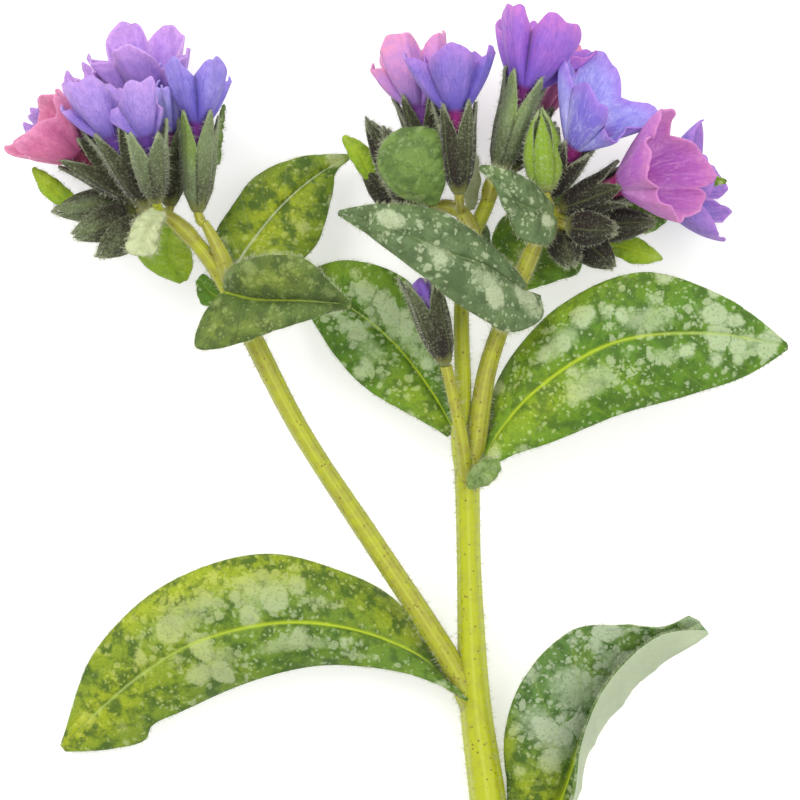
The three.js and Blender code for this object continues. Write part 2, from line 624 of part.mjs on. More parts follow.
const budFlower = { root: [446, 364, 14.8], mouth: [420, 279, 17], calyx: 10.4, radius: 2.2 };
addNode("bud_calyx", [calyxCup(budFlower)], calyxBrown);

const heads = [
  ["left", leftSpine, leftFlowers, leftBuds],
  ["left_inner", leftInnerSpine, leftInnerFlowers, []],
  ["middle", middleSpine, middleFlowers, middleBuds],
  ["middle_top", middleTopSpine, middleTopFlowers, []],
  ["right", rightSpine, rightFlowers, rightBuds],
];
for (const [side, spine, flowers, buds] of heads) {
  addNode(`head_${side}`, headPieces(spine, flowers, buds), calyxBrown, 0.8);
  for (const [name, flower] of Object.entries(flowers)) addNode(name, [corolla(flower)], flower.color);
}

const budPetals = { root: [446, 364, 14.8], tip: [422, 277, 17.2], radius: 1.2 };
addNode("bud_petals", [closedBud(budPetals)], magentaViolet);

addNode("leaf_left_back", [leaf(leafLeftBack, { rows: 10, wave: 0.5 })], leafGreen);
addNode("leaf_right_back", [leaf(leafRightBack, { rows: 8, spans: [2, 2], wave: 0.3 })], leafGreen);
addNode("leaf_middle_small", [leaf(leafMiddleSmall, { rows: 5, spans: [2, 2], wave: 0.2 })], leafGreen);

const bracts = {
  bract_left_low: bractLeftLow,
  bract_left_pale: bractLeftPale,
  bract_left_tip: bractLeftTip,
  bract_middle: bractMiddle,
  bract_middle_side: bractMiddleSide,
  bract_right_tip: bractRightTip,
  bract_right_under: bractRightUnder,
  bract_right_far: bractRightFar,
  bract_right_base: bractRightBase,
  bract_middle_pale: bractMiddlePale,
  bract_left_thin: bractLeftThin,
  leaf_left_small: leafLeftSmall,
};
for (const [name, rails] of Object.entries(bracts)) {
  addNode(name, [leaf(rails, { rows: 4, spans: [2, 2], wave: 0.2, waves: 2 })], leafGreen);
}

// The origin is under the middle of the part, on the table
const box = new THREE.Box3().setFromObject(group);
const middle = box.getCenter(new THREE.Vector3());
for (const mesh of group.children) mesh.position.set(-middle.x, -middle.y, -box.min.z);

export default group;
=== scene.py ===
import math
import bpy
import numpy as np
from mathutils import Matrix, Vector


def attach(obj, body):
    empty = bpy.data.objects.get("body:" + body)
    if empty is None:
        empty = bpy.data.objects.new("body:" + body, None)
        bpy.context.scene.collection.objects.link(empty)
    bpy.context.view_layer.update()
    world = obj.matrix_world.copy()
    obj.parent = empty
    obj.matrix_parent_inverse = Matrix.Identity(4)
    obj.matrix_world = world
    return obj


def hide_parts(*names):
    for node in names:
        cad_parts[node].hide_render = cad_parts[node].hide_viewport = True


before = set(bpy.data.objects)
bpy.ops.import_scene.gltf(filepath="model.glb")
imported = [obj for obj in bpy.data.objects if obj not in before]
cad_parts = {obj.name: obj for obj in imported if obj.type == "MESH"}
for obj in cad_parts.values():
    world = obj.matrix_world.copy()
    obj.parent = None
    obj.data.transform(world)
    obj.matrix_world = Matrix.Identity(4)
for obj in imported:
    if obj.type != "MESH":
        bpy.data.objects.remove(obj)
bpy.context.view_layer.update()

millimetre = 0.001
bpy.ops.object.select_all(action="DESELECT")

# The outlines are read in a square frame, looking down on the sprig.
# A point is dots across, dots down, and its height over the table in millimetres.
outline = {"side": 100, "dots": 800, "eye": 450}


def rawPlace(point):
    across, down, height = point
    dot = outline["side"] / outline["dots"] * (outline["eye"] - height) / outline["eye"]
    middle = outline["dots"] / 2
    return np.array([(across - middle) * dot, (middle - down) * dot, height]) * millimetre


def unit(vector):
    return vector / np.maximum(np.linalg.norm(vector, axis=-1, keepdims=True), 1e-12)


# Steps in each span of a smooth line, and along a line that others are read from
spanSteps = 24
fineSteps = 400


# A smooth line through points, cut into even steps
def smoothLine(points, count):
    known = np.array(points, dtype=float)
    known = np.vstack([2 * known[0] - known[1], known, 2 * known[-1] - known[-2]])
    pieces = []
    part = np.linspace(0, 1, spanSteps)[:, None]
    for i in range(1, len(known) - 2):
        a, b, c, d = known[i - 1:i + 3]
        before = max(np.linalg.norm(b - a), 1e-9) ** 0.5
        between = max(np.linalg.norm(c - b), 1e-9) ** 0.5
        after = max(np.linalg.norm(d - c), 1e-9) ** 0.5
        leave = ((b - a) / before - (c - a) / (before + between) + (c - b) / between) * between
        arrive = ((c - b) / between - (d - b) / (between + after) + (d - c) / after) * between
        square = part ** 2
        cube = part ** 3
        pieces.append(b * (2 * cube - 3 * square + 1) + leave * (cube - 2 * square + part)
                      + c * (3 * square - 2 * cube) + arrive * (cube - square))
    fine = np.vstack(pieces)
    length = np.concatenate([[0], np.cumsum(np.linalg.norm(np.diff(fine, axis=0), axis=1))])
    wanted = np.linspace(0, length[-1], count)
    return np.column_stack([np.interp(wanted, length, fine[:, axis]) for axis in range(fine.shape[1])])


# Stalks: a centre line, and a radius in millimetres at each of its points
stalks = {
    "main": {
        "path": [(505, 935, 2.7), (488, 800, 3.6), (475, 700, 4.9), (470, 600, 6.6), (468, 520, 8.0),
                 (467, 468, 9.0)],
        "radii": [2.5, 2.4, 2.1, 1.8, 1.5, 1.55],
    },
    "left": {
        "path": [(472, 706, 4.9), (454, 668, 6.0), (430, 628, 7.2), (375, 545, 8.8), (300, 430, 11.0),
                 (256, 345, 12.4), (226, 284, 13.4), (203, 251, 14.2), (182, 228, 14.4)],
        "radii": [1.5, 1.4, 1.35, 1.3, 1.2, 1.2, 1.25, 1.15, 0.8],
    },
    "middle": {
        "path": [(467, 486, 8.8), (460, 440, 9.6), (463, 400, 10.6), (462, 300, 12.3), (471, 240, 13.2),
                 (486, 206, 13.9), (494, 184, 14.6)],
        "radii": [1.2, 1.1, 1.0, 0.95, 0.9, 0.95, 0.85],
    },
    "right": {
        "path": [(468, 488, 8.8), (475, 448, 10.0), (487, 371, 11.4), (500, 330, 12.2), (514, 293, 13.0),
                 (532, 252, 13.9)],
        "radii": [1.3, 1.3, 1.2, 1.1, 1.1, 1.1],
    },
    "bud": {
        "path": [(467, 478, 9.6), (462, 440, 12.0), (453, 395, 13.6), (446, 366, 14.6)],
        "radii": [1.0, 0.8, 0.75, 0.75],
    },
}

# Leaves: rails from one margin over the midrib to the other margin, each from base to tip.
# A patch is a place along (0 to 1) and across (-1 to 1), its two reaches, and how strong it is. Glow
# patches are painted backlight, where light shining through the blade is painted as lime.
leaves = {
    "leaf_lower_left": {
        "rails": [
            [(440, 674, 4.4), (428, 640, 3.4), (396, 602, 3.4), (349, 575, 5.0), (267, 555, 7.2),
             (175, 580, 7.2), (96, 651, 4.6), (63, 742, 1.4)],
            [(446, 680, 6.2), (419, 656, 6.0), (354, 630, 7.6), (281, 623, 9.4), (197, 642, 8.6),
             (133, 681, 5.8), (61, 746, 1.6)],
            [(468, 700, 8.4), (419, 677, 7.6), (335, 664, 7.2), (264, 676, 6.8), (180, 711, 5.0),
             (152, 725, 4.0), (145, 739, 3.2), (112, 748, 2.4), (66, 751, 1.4)],
        ],
        "waves": 4, "wave": 0.7, "ribHalf": 0.34, "ribShow": 0.85, "look": "leafLime",
        "columns": 60, "rows": 110,
        "glow": [(0.95, 0.0, 0.45, 1.2, 1.0), (0.6, -0.9, 0.5, 0.55, 0.9), (0.15, -0.6, 0.2, 0.8, 0.7)],
        "silver": [(0.6, -0.45, 0.14, 0.45, 0.9), (0.44, -0.5, 0.1, 0.45, 0.9), (0.32, -0.35, 0.08, 0.2, 0.8),
                   (0.56, 0.4, 0.1, 0.35, 0.9), (0.38, 0.45, 0.14, 0.25, 1.0), (0.26, 0.7, 0.06, 0.15, 0.9)],
    },
    "leaf_lower_right": {
        "rails": [
            [(510, 893, 2.6), (508, 850, 2.2), (508, 795, 2.6), (506, 727, 4.2), (528, 673, 6.4),
             (575, 629, 8.6), (620, 625, 9.6), (664, 627, 10.0), (690, 616, 9.4)],
            [(514, 900, 3.0), (535, 850, 2.4), (562, 798, 2.8), (581, 745, 4.2), (606, 695, 6.0),
             (641, 655, 7.8), (676, 637, 8.6), (700, 622, 9.0)],
            [(520, 908, 3.2), (552, 850, 3.0), (576, 800, 3.6), (589, 751, 5.2), (622, 703, 7.6),
             (656, 667, 9.6), (690, 645, 10.8), (708, 633, 9.6)],
            [(519, 906, 4.2), (547, 848, 5.6), (571, 800, 7.6), (580, 745, 9.6), (600, 693, 11.2),
             (632, 655, 12.2), (662, 634, 12.4), (704, 629, 10.2)],
        ],
        "spans": [3, 2, 2], "wave": 0.4, "ribShow": 0.8, "look": "leafHazy",
        "columns": 70, "rows": 100, "rib": 0.43, "ribHalf": 0.34,
        "glow": [(0.28, -0.35, 0.13, 0.8, 1.0), (0.1, -0.2, 0.2, 1.0, 0.8), (0.36, -1.0, 0.1, 0.3, 0.7)],
        "silver": [(0.6, -0.5, 0.1, 0.45, 1.0), (0.74, -0.35, 0.08, 0.35, 0.9),
                   (0.46, -0.55, 0.08, 0.6, 1.0), (0.56, -0.95, 0.05, 0.15, 0.9),
                   (0.8, -0.85, 0.12, 0.25, 0.7), (1.0, -0.3, 0.07, 1.5, 1.0)],
    },
    "leaf_right": {
        "rails": [
            [(482, 452, 9.0), (489, 405, 8.6), (514, 355, 10.0), (560, 307, 12.4), (640, 273, 14.0),
             (727, 299, 13.2), (786, 343, 11.0)],
            [(481, 467, 10.6), (499, 433, 11.0), (536, 390, 12.6), (612, 343, 14.8), (709, 333, 14.0),
             (788, 346, 11.0)],
            [(470, 484, 12.2), (500, 461, 11.8), (553, 441, 12.0), (622, 413, 13.0), (690, 394, 13.2),
             (746, 375, 12.6), (787, 350, 11.0)],
        ],
        "waves": 4, "wave": 0.6, "ribHalf": 0.34, "ribShow": 0.9, "look": "leafGreen",
        "columns": 64, "rows": 100,
        "glow": [(0.2, 0.3, 0.25, 0.7, 0.8), (0.35, -0.9, 0.3, 0.3, 0.6), (0.15, -0.5, 0.2, 0.5, 0.7),
                 (0.27, 0.35, 0.12, 0.3, 1.0)],
        "silver": [(0.37, -0.45, 0.12, 0.35, 1.0), (0.6, -0.25, 0.12, 0.35, 1.0), (0.8, -0.4, 0.12, 0.4, 0.9),
                   (0.42, 0.4, 0.13, 0.35, 1.0), (0.64, 0.35, 0.1, 0.25, 0.8), (0.88, 0.1, 0.12, 0.6, 0.9),
                   (0.85, 0.0, 0.2, 1.2, 0.45), (0.2, -0.5, 0.08, 0.3, 0.6)],
    },
    "leaf_middle_back": {
        "rails": [
            [(458, 420, 8.0), (451, 375, 6.6), (437, 322, 5.6), (407, 281, 5.0), (356, 261, 4.2),
             (321, 266, 3.2), (293, 283, 2.4)],
            [(455, 432, 8.4), (436, 398, 7.2), (408, 359, 5.8), (380, 330, 4.8), (345, 305, 3.8),
             (290, 286, 2.4)],
            [(448, 436, 9.0), (415, 417, 7.8), (373, 393, 6.6), (338, 359, 5.2), (313, 320, 3.8),
             (290, 290, 2.4)],
        ],
        "wave": 0.6, "ribShow": 0.8, "look": "leafGreen", "columns": 56, "rows": 84,
        "glow": [(0.15, 0.5, 0.3, 0.6, 0.8), (0.8, -0.8, 0.3, 0.4, 0.5)],
        "silver": [(0.5, -0.3, 0.35, 0.4, 0.9), (0.55, 0.4, 0.3, 0.5, 0.7)],
    },
    "leaf_upper_front": {
        "rails": [
            [(526, 284, 15.4), (503, 258, 17.6), (470, 230, 19.4), (431, 209, 20.2), (378, 205, 20.0),
             (340, 211, 18.6)],
            [(523, 291, 15.8), (489, 266, 19.0), (445, 251, 21.0), (388, 226, 21.2), (338, 213, 18.8)],
            [(540, 296, 14.8), (541, 318, 16.4), (508, 332, 18.6), (476, 314, 20.2), (447, 295, 20.8),
             (403, 260, 21.0), (374, 238, 20.4), (339, 216, 18.8)],
        ],
        "wave": 0.6, "ribShow": 0.35, "look": "leafGrey", "columns": 56, "rows": 84,
        "silver": [(0.72, -0.2, 0.1, 0.5, 1.0), (0.5, 0.1, 0.13, 0.4, 1.0), (0.27, 0.3, 0.12, 0.4, 1.0),
                   (0.08, 0.5, 0.12, 0.7, 1.0)],
    },
    "leaf_left_front": {
        "rails": [
            [(224, 284, 15.2), (231, 267, 19.0), (265, 256, 21.0), (305, 259, 21.0), (331, 284, 19.2),
             (351, 303, 17.0)],
            [(225, 292, 15.4), (257, 299, 17.2), (306, 301, 18.4), (352, 305, 17.0)],
            [(217, 298, 15.0), (201, 322, 16.4), (197, 348, 17.0), (243, 341, 18.4), (292, 324, 18.8),
             (334, 311, 18.0), (351, 309, 17.0)],
        ],
        "wave": 0.5, "ribShow": 0.55, "ribTone": "lime", "look": "leafMoss", "columns": 56, "rows": 70,
        "glow": [(0.4, -0.5, 0.3, 0.4, 0.6), (0.35, 0.6, 0.3, 0.4, 0.5)],
        "silver": [(0.5, -0.6, 0.4, 0.4, 0.5), (0.5, 0.5, 0.4, 0.4, 0.5), (0.15, -0.9, 0.2, 0.3, 0.9)],
    },
    "leaf_left_back": {
        "rails": [
            [(222, 272, 12.2), (216, 235, 9.2), (232, 208, 7.6), (255, 178, 6.4), (295, 159, 5.6),
             (346, 154, 5.0)],
            [(228, 278, 12.4), (250, 244, 9.4), (278, 209, 7.4), (313, 178, 6.0), (350, 156, 5.0)],
            [(236, 282, 12.2), (290, 268, 9.0), (318, 240, 7.4), (330, 200, 6.0), (336, 172, 5.4),
             (349, 160, 5.0)],
        ],
        "wave": 0.5, "ribShow": 0.75, "look": "leafLime", "columns": 48, "rows": 70, "ribTone": "silver",
        "glow": [(0.5, 0.0, 0.6, 1.2, 0.95)],
        "silver": [(0.5, 0.4, 0.4, 0.5, 0.3)],
    },
    "leaf_right_front": {
        "rails": [
            [(552, 205, 18.4), (530, 182, 20.4), (503, 169, 21.6), (482, 165, 20.6)],
            [(554, 214, 18.6), (519, 203, 21.4), (498, 182, 21.6), (480, 167, 20.6)],
            [(556, 223, 18.4), (549, 243, 19.6), (523, 239, 21.2), (506, 212, 22.0), (495, 184, 21.6),
             (480, 171, 20.6)],
        ],
        "wave": 0.3, "ribShow": 0.15, "look": "leafGrey", "columns": 40, "rows": 50,
        "silver": [(0.5, 0.0, 0.4, 0.6, 0.5)],
    },
    "leaf_right_back": {
        "rails": [
            [(511, 287, 11.0), (492, 245, 9.0), (500, 222, 8.2), (530, 200, 8.0), (560, 186, 8.0)],
            [(515, 290, 11.2), (530, 255, 9.4), (548, 215, 8.4), (563, 187, 8.0)],
            [(521, 292, 11.0), (555, 281, 9.6), (578, 272, 8.6), (581, 240, 8.0), (568, 190, 8.0)],
        ],
        "wave": 0.3, "ribShow": 0.3, "look": "leafGreen", "columns": 40, "rows": 50,
        "glow": [(0.3, 0.0, 0.5, 1.0, 0.5)],
    },
    "leaf_middle_small": {
        "rails": [
            [(459, 262, 11.4), (451, 240, 12.2), (453, 224, 12.4), (467, 217, 12.2)],
            [(464, 265, 11.6), (468, 240, 12.8), (472, 217, 12.2)],
            [(469, 263, 11.4), (488, 250, 12.2), (488, 230, 12.4), (477, 218, 12.2)],
        ],
        "wave": 0.2, "ribShow": 0.2, "look": "leafGrey", "columns": 30, "rows": 36,
    },
    "bract_left_low": {
        "rails": [
            [(163, 222, 13.2), (138, 252, 9.6), (152, 270, 7.8), (180, 283, 6.8)],
            [(172, 226, 13.2), (170, 255, 9.4), (184, 281, 7.0)],
            [(180, 232, 13.2), (190, 249, 9.8), (192, 265, 8.0), (187, 280, 7.0)],
        ],
        "ribShow": 0.35, "look": "leafYoung",
        "glow": [(0.5, 0.6, 0.6, 0.6, 0.9)],
    },
    "bract_left_pale": {
        "rails": [
            [(156, 205, 18.0), (136, 220, 20.0), (129, 238, 20.6), (126, 249, 20.6), (136, 255, 20.6)],
            [(161, 210, 18.0), (148, 230, 20.4), (139, 256, 20.8)],
            [(166, 214, 18.0), (160, 229, 20.2), (157, 243, 20.8), (156, 252, 20.8), (143, 256, 20.6)],
        ],
        "waves": 5, "wave": 0.7, "ribShow": 0.1, "look": "leafWhite",
    },
    "bract_left_tip": {
        "rails": [
            [(68, 210, 10.4), (44, 194, 10.0), (32, 170, 9.4)],
            [(72, 204, 10.6), (49, 186, 10.4), (33, 168, 9.4)],
            [(76, 197, 10.4), (55, 179, 10.0), (35, 167, 9.4)],
        ],
        "ribShow": 0.25, "look": "leafYoung",
        "glow": [(0.6, 0.0, 0.6, 1.0, 0.8)],
    },
    "bract_middle": {
        "rails": [
            [(426, 204, 17.0), (395, 192, 18.6), (378, 165, 19.0), (385, 141, 19.0), (402, 129, 18.6)],
            [(431, 206, 17.0), (424, 175, 19.8), (416, 145, 20.4), (411, 127, 19.2)],
            [(437, 204, 17.0), (445, 180, 18.6), (447, 155, 19.0), (444, 135, 19.2), (420, 127, 19.2)],
        ],
        "ribShow": 0.12, "look": "leafOlive",
        "silver": [(0.55, -1.0, 0.9, 0.14, 1.0), (0.8, 1.0, 0.3, 0.2, 0.8)],
    },
    "bract_middle_side": {
        "rails": [
            [(366, 180, 10.0), (352, 160, 9.6), (342, 139, 9.2)],
            [(371, 178, 10.2), (358, 152, 10.0), (343, 136, 9.2)],
            [(376, 172, 10.0), (367, 148, 9.6), (346, 135, 9.2)],
        ],
        "ribShow": 0.25, "look": "leafYoung",
        "glow": [(0.6, 0.0, 0.6, 1.0, 0.8)],
    },
    "bract_right_tip": {
        "rails": [
            [(606, 236, 9.6), (638, 239, 9.2), (661, 256, 8.8)],
            [(604, 243, 9.8), (634, 250, 9.6), (663, 259, 8.8)],
            [(606, 250, 9.6), (634, 263, 9.2), (660, 261, 8.8)],
        ],
        "ribShow": 0.7, "look": "leafYoung",
        "glow": [(0.6, 0.0, 0.6, 1.0, 0.7)],
    },
    "bract_right_under": {
        "rails": [
            [(606, 206, 11.6), (650, 204, 11.0), (667, 212, 10.6)],
            [(604, 214, 11.8), (640, 216, 11.6), (669, 217, 10.6)],
            [(606, 222, 11.6), (645, 233, 11.0), (666, 222, 10.6)],
        ],
        "ribShow": 0.4, "look": "leafGreen",
    },
    "bract_right_base": {
        "rails": [
            [(468, 477, 12.6), (480, 462, 13.3), (499, 459, 12.8)],
            [(467, 485, 12.8), (483, 473, 13.6), (500, 464, 12.9)],
            [(469, 489, 12.8), (490, 483, 13.4), (501, 469, 12.9)],
        ],
        "ribShow": 0.3, "look": "leafOlive",
        "silver": [(0.5, 0.0, 0.6, 1.0, 0.6)],
    },
    "bract_middle_pale": {
        "rails": [
            [(466, 209, 12.8), (464, 180, 12.4), (470, 150, 12.0)],
            [(470, 210, 12.8), (472, 180, 12.6), (473, 148, 12.0)],
            [(475, 209, 12.8), (480, 180, 12.4), (476, 150, 12.0)],
        ],
        "ribShow": 0.2, "look": "leafWhite",
        "silver": [(0.5, 0.0, 0.6, 1.0, 1.0)],
    },
    "bract_left_thin": {
        "rails": [
            [(214, 166, 12.4), (216, 138, 13.0), (222, 106, 13.6)],
            [(217, 165, 12.4), (219, 137, 13.2), (224, 104, 13.6)],
            [(220, 164, 12.4), (222, 136, 13.0), (225, 106, 13.6)],
        ],
        "ribShow": 0.3, "look": "leafOlive",
    },
    "leaf_left_small": {
        "rails": [
            [(226, 296, 11.4), (212, 280, 11.0), (203, 274, 10.6)],
            [(224, 300, 11.6), (208, 290, 11.4), (199, 277, 10.6)],
            [(222, 304, 11.4), (203, 304, 11.0), (196, 282, 10.6)],
        ],
        "ribShow": 0.3, "look": "leafGreen",
    },
    "bract_right_far": {
        "rails": [
            [(640, 182, 8.8), (690, 172, 8.4), (725, 179, 8.0)],
            [(638, 190, 9.0), (690, 181, 8.8), (727, 181, 8.0)],
            [(640, 197, 8.8), (690, 189, 8.4), (725, 184, 8.0)],
        ],
        "ribShow": 0.3, "look": "leafGreen",
        "glow": [(0.8, 0.0, 0.5, 1.0, 0.7)],
    },
}


# The middle of the part's box and the surface that it lies on, in the outlines' millimetres
partMiddle = (-0.2616, -9.8359, 0.2004)
shift = -np.array(partMiddle) * millimetre


def at(point):
    return rawPlace(point) + shift


# Camera over the middle of the frame, looking straight down, and a pale table under soft light.
# A softbox is a place and a size in metres, and its share of the power.
view = {"sensor": 36, "near": 0.01, "world": 0.82, "table": "#dcdcda", "tableSize": 4, "glow": 0.42,
        "power": 6.4, "softboxes": (((-0.5, 0.5, 0.9), 0.7, 1.0), ((0.6, 0.2, 0.9), 0.7, 0.6))}


def linearColor(code):
    values = [int(code[i:i + 2], 16) / 255 for i in (1, 3, 5)]
    return [v / 12.92 if v <= 0.04045 else ((v + 0.055) / 1.055) ** 2.4 for v in values] + [1.0]


# Each input takes a value, a colour code, or a link from a socket or from a node's first live output
def setInputs(tree, node, inputs):
    for key, value in inputs.items():
        if isinstance(value, bpy.types.Node):
            value = next(socket for socket in value.outputs if socket.enabled)
        if isinstance(value, bpy.types.NodeSocket):
            tree.links.new(value, node.inputs[key])
        elif isinstance(value, str):
            node.inputs[key].default_value = linearColor(value)
        else:
            node.inputs[key].default_value = value


def addNode(tree, kind, settings=None, inputs=None):
    node = tree.nodes.new(kind)
    for key, value in (settings or {}).items():
        setattr(node, key, value)
    setInputs(tree, node, inputs or {})
    return node


# Settings that many nodes share
smooth = {"interpolation_type": "SMOOTHSTEP"}
mixColors = {"data_type": "RGBA"}
multiply = {"operation": "MULTIPLY"}
multiplyAdd = {"operation": "MULTIPLY_ADD"}
addClamped = {"operation": "ADD", "use_clamp": True}


def newMaterial(name):
    material = bpy.data.materials.new(name)
    material.use_nodes = True
    tree = material.node_tree
    return material, tree, tree.nodes["Principled BSDF"]


def setUpView():
    camera = bpy.data.cameras.new("camera")
    camera.sensor_width = view["sensor"]
    camera.lens = view["sensor"] * outline["eye"] / outline["side"]
    camera.clip_start = view["near"]
    holder = bpy.data.objects.new("camera", camera)
    bpy.context.collection.objects.link(holder)
    holder.location = Vector(shift) + Vector((0, 0, outline["eye"] * millimetre))
    bpy.context.scene.camera = holder
    bpy.ops.mesh.primitive_plane_add(size=view["tableSize"], location=(0, 0, 0))
    table = bpy.context.active_object
    table.name = "table"
    # Opal white board, softly lit from within: even and pale, with only a faint shadow on it
    material, tree, shader = newMaterial("tableOpalWhite")
    setInputs(tree, shader, {"Base Color": view["table"], "Roughness": 0.9, "Specular IOR Level": 0.1,
                             "Emission Color": "#ffffff", "Emission Strength": view["glow"]})
    table.data.materials.append(material)
    world = bpy.data.worlds.new("softRoom")
    world.use_nodes = True
    tree = world.node_tree
    setInputs(tree, tree.nodes["Background"], {"Color": "#ffffff", "Strength": view["world"]})
    bpy.context.scene.world = world
    for place, size, share in view["softboxes"]:
        lamp = bpy.data.lights.new("softbox", "AREA")
        lamp.size = size
        lamp.energy = view["power"] * share
        lampHolder = bpy.data.objects.new("softbox", lamp)
        bpy.context.collection.objects.link(lampHolder)
        lampHolder.location = place
        lampHolder.rotation_euler = (-Vector(place)).to_track_quat("-Z", "Y").to_euler()
    bpy.context.scene.view_settings.view_transform = "Standard"


setUpView()
print("camera, table and light are set")


# Bends what comes nearer to the table than low up from it; soft is the height over which it bends
def overTable(points, low, soft):
    height = points[:, 2] / millimetre
    bendFrom = low + soft
    lifted = low + soft * np.exp(np.minimum(height - bendFrom, 0) / soft)
    points[:, 2] = np.where(height < bendFrom, lifted, height) * millimetre
    return points


def pick(pieces):
    bpy.ops.object.select_all(action="DESELECT")
    for piece in pieces:
        piece.select_set(True)
    bpy.context.view_layer.objects.active = pieces[0]


def cornersOf(piece):
    corners = np.empty(len(piece.data.vertices) * 3)
    piece.data.vertices.foreach_get("co", corners)
    return corners.reshape(-1, 3)


# A sheet is a grid whose corners are laid on a surface; a closed one is welded where its sides meet
weld = 1e-7


def laidSheet(name, columns, rows, pointsAt, closed=False):
    bpy.ops.object.select_all(action="DESELECT")
    bpy.ops.mesh.primitive_grid_add(x_subdivisions=columns, y_subdivisions=rows, size=1, calc_uvs=True)
    piece = bpy.context.active_object
    piece.name = name
    piece.data.name = name
    across, along = (np.clip(cornersOf(piece)[:, axis] + 0.5, 0, 1) for axis in (0, 1))
    piece.data.vertices.foreach_set("co", pointsAt(across, along).astype(np.float32).ravel())
    if closed:
        bpy.ops.object.mode_set(mode="EDIT")
        bpy.ops.mesh.select_all(action="SELECT")
        bpy.ops.mesh.remove_doubles(threshold=weld)
        bpy.ops.object.mode_set(mode="OBJECT")
    bpy.ops.object.shade_smooth()
    return piece


# Where each corner of a laid sheet lies on it: across and along, 0 to 1
def sheetPlaces(piece):
    layer = piece.data.uv_layers.active.data
    uv = np.empty(len(layer) * 2)
    layer.foreach_get("uv", uv)
    loops = np.empty(len(piece.data.loops), dtype=int)
    piece.data.loops.foreach_get("vertex_index", loops)
    places = np.zeros((len(piece.data.vertices), 2))
    places[loops] = uv.reshape(-1, 2)
    return places[:, 0], places[:, 1]


def storeValue(piece, name, values):
    layer = piece.data.attributes.new(name, "FLOAT", "POINT")
    layer.data.foreach_set("value", np.asarray(values, dtype=np.float32))


def thicken(piece, thickness, offset=0.0, lowerMaterial=0):
    pick([piece])
    wall = piece.modifiers.new("wall", "SOLIDIFY")
    wall.thickness = thickness * millimetre
    wall.offset = offset
    wall.use_even_offset = False
    wall.material_offset = lowerMaterial
    bpy.ops.object.modifier_apply(modifier=wall.name)


def joined(pieces, name):
    pick(pieces)
    bpy.ops.object.join()
    whole = bpy.context.active_object
    whole.name = name
    whole.data.name = name
    return whole


def settle(piece, nodes=()):
    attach(piece, "root")
    if nodes:
        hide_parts(*nodes)


# Leaf blade: herb leaf, soft and thin, grown with sunken veins; gives a dull surface with painted backlight,
# lime where the glow patches stand for light shining through it, with pale flecks under 0.5 mm, round dots
# up to 1 mm, blotches of 2 to 3 mm and broad silver clouds. A look's glow and glowSpot colours are this
# painted backlight on the blade and on its marks.
leafLooks = {
    "leafGreen": {"dark": "#33540c", "mid": "#567f12", "glow": "#89a30c", "spot": "#bccba0",
                  "glowSpot": "#bfca5c", "amount": 0.8, "mottle": 0.65},
    "leafLime": {"dark": "#375609", "mid": "#5d7d1c", "glow": "#98a60e", "spot": "#b3c096",
                 "glowSpot": "#b9bf3e", "amount": 0.75, "mottle": 0.85},
    "leafHazy": {"dark": "#2f5210", "mid": "#587a34", "glow": "#98a60e", "spot": "#b6c2a4",
                 "glowSpot": "#a9b424", "amount": 0.85, "mottle": 0.8},
    "leafYoung": {"dark": "#5f7f10", "mid": "#86a616", "glow": "#a4bc1c", "spot": "#bccd78",
                  "glowSpot": "#c3d35a", "amount": 0.3, "mottle": 0.4},
    "leafGrey": {"dark": "#3a4d26", "mid": "#5d7346", "glow": "#7e9040", "spot": "#bcc8a0",
                 "glowSpot": "#a9b85c", "amount": 0.82, "mottle": 0.6},
    "leafMoss": {"dark": "#324518", "mid": "#576d2c", "glow": "#84952c", "spot": "#9aaa66",
                 "glowSpot": "#a6b352", "amount": 0.6, "mottle": 0.6},
    "leafOlive": {"dark": "#455e28", "mid": "#6c883c", "glow": "#8f9c44", "spot": "#a5b67c",
                  "glowSpot": "#a4b264", "amount": 0.42, "mottle": 0.7},
    "leafWhite": {"dark": "#9ca474", "mid": "#bcc496", "glow": "#bcc496", "spot": "#d2d6b4",
                  "glowSpot": "#d2d6b4", "amount": 0.4, "mottle": 0.3},
}
# Scales are cells in a metre: broad clouds of 5 mm, a mottle of 2 mm and a grain of 0.3 mm, which is
# coarser than the real down so that it shows. The mottle bends a mark by up to 1.8 mm.
leafPattern = {"broad": 200, "mottle": 480, "grain": 3000, "bend": 0.0018, "veins": 7, "lean": 1.15}
# Marks are cells of three sizes, 3.3, 1.2 and 0.6 mm apart: blotches, dots and flecks. A cell's level
# is its own chance times gain, plus the silver about it times share, less how far its middle is.
leafMarks = ({"scale": 300, "share": 0.44, "gain": 0.5, "strength": 0.9},
             {"scale": 860, "share": 0.42, "gain": 0.5, "strength": 0.7},
             {"scale": 1700, "share": 0.3, "gain": 0.52, "strength": 0.6})
underLook = {"marks": 0.3, "veil": 0.78, "tone": "#bac4a6"}
brightLooks = ("leafGreen", "leafLime", "leafHazy", "leafYoung")
ribTones = {"lime": "#b4c826", "limeTip": "#a9bd62", "silver": "#c3ccb0", "downy": "#93a56c"}


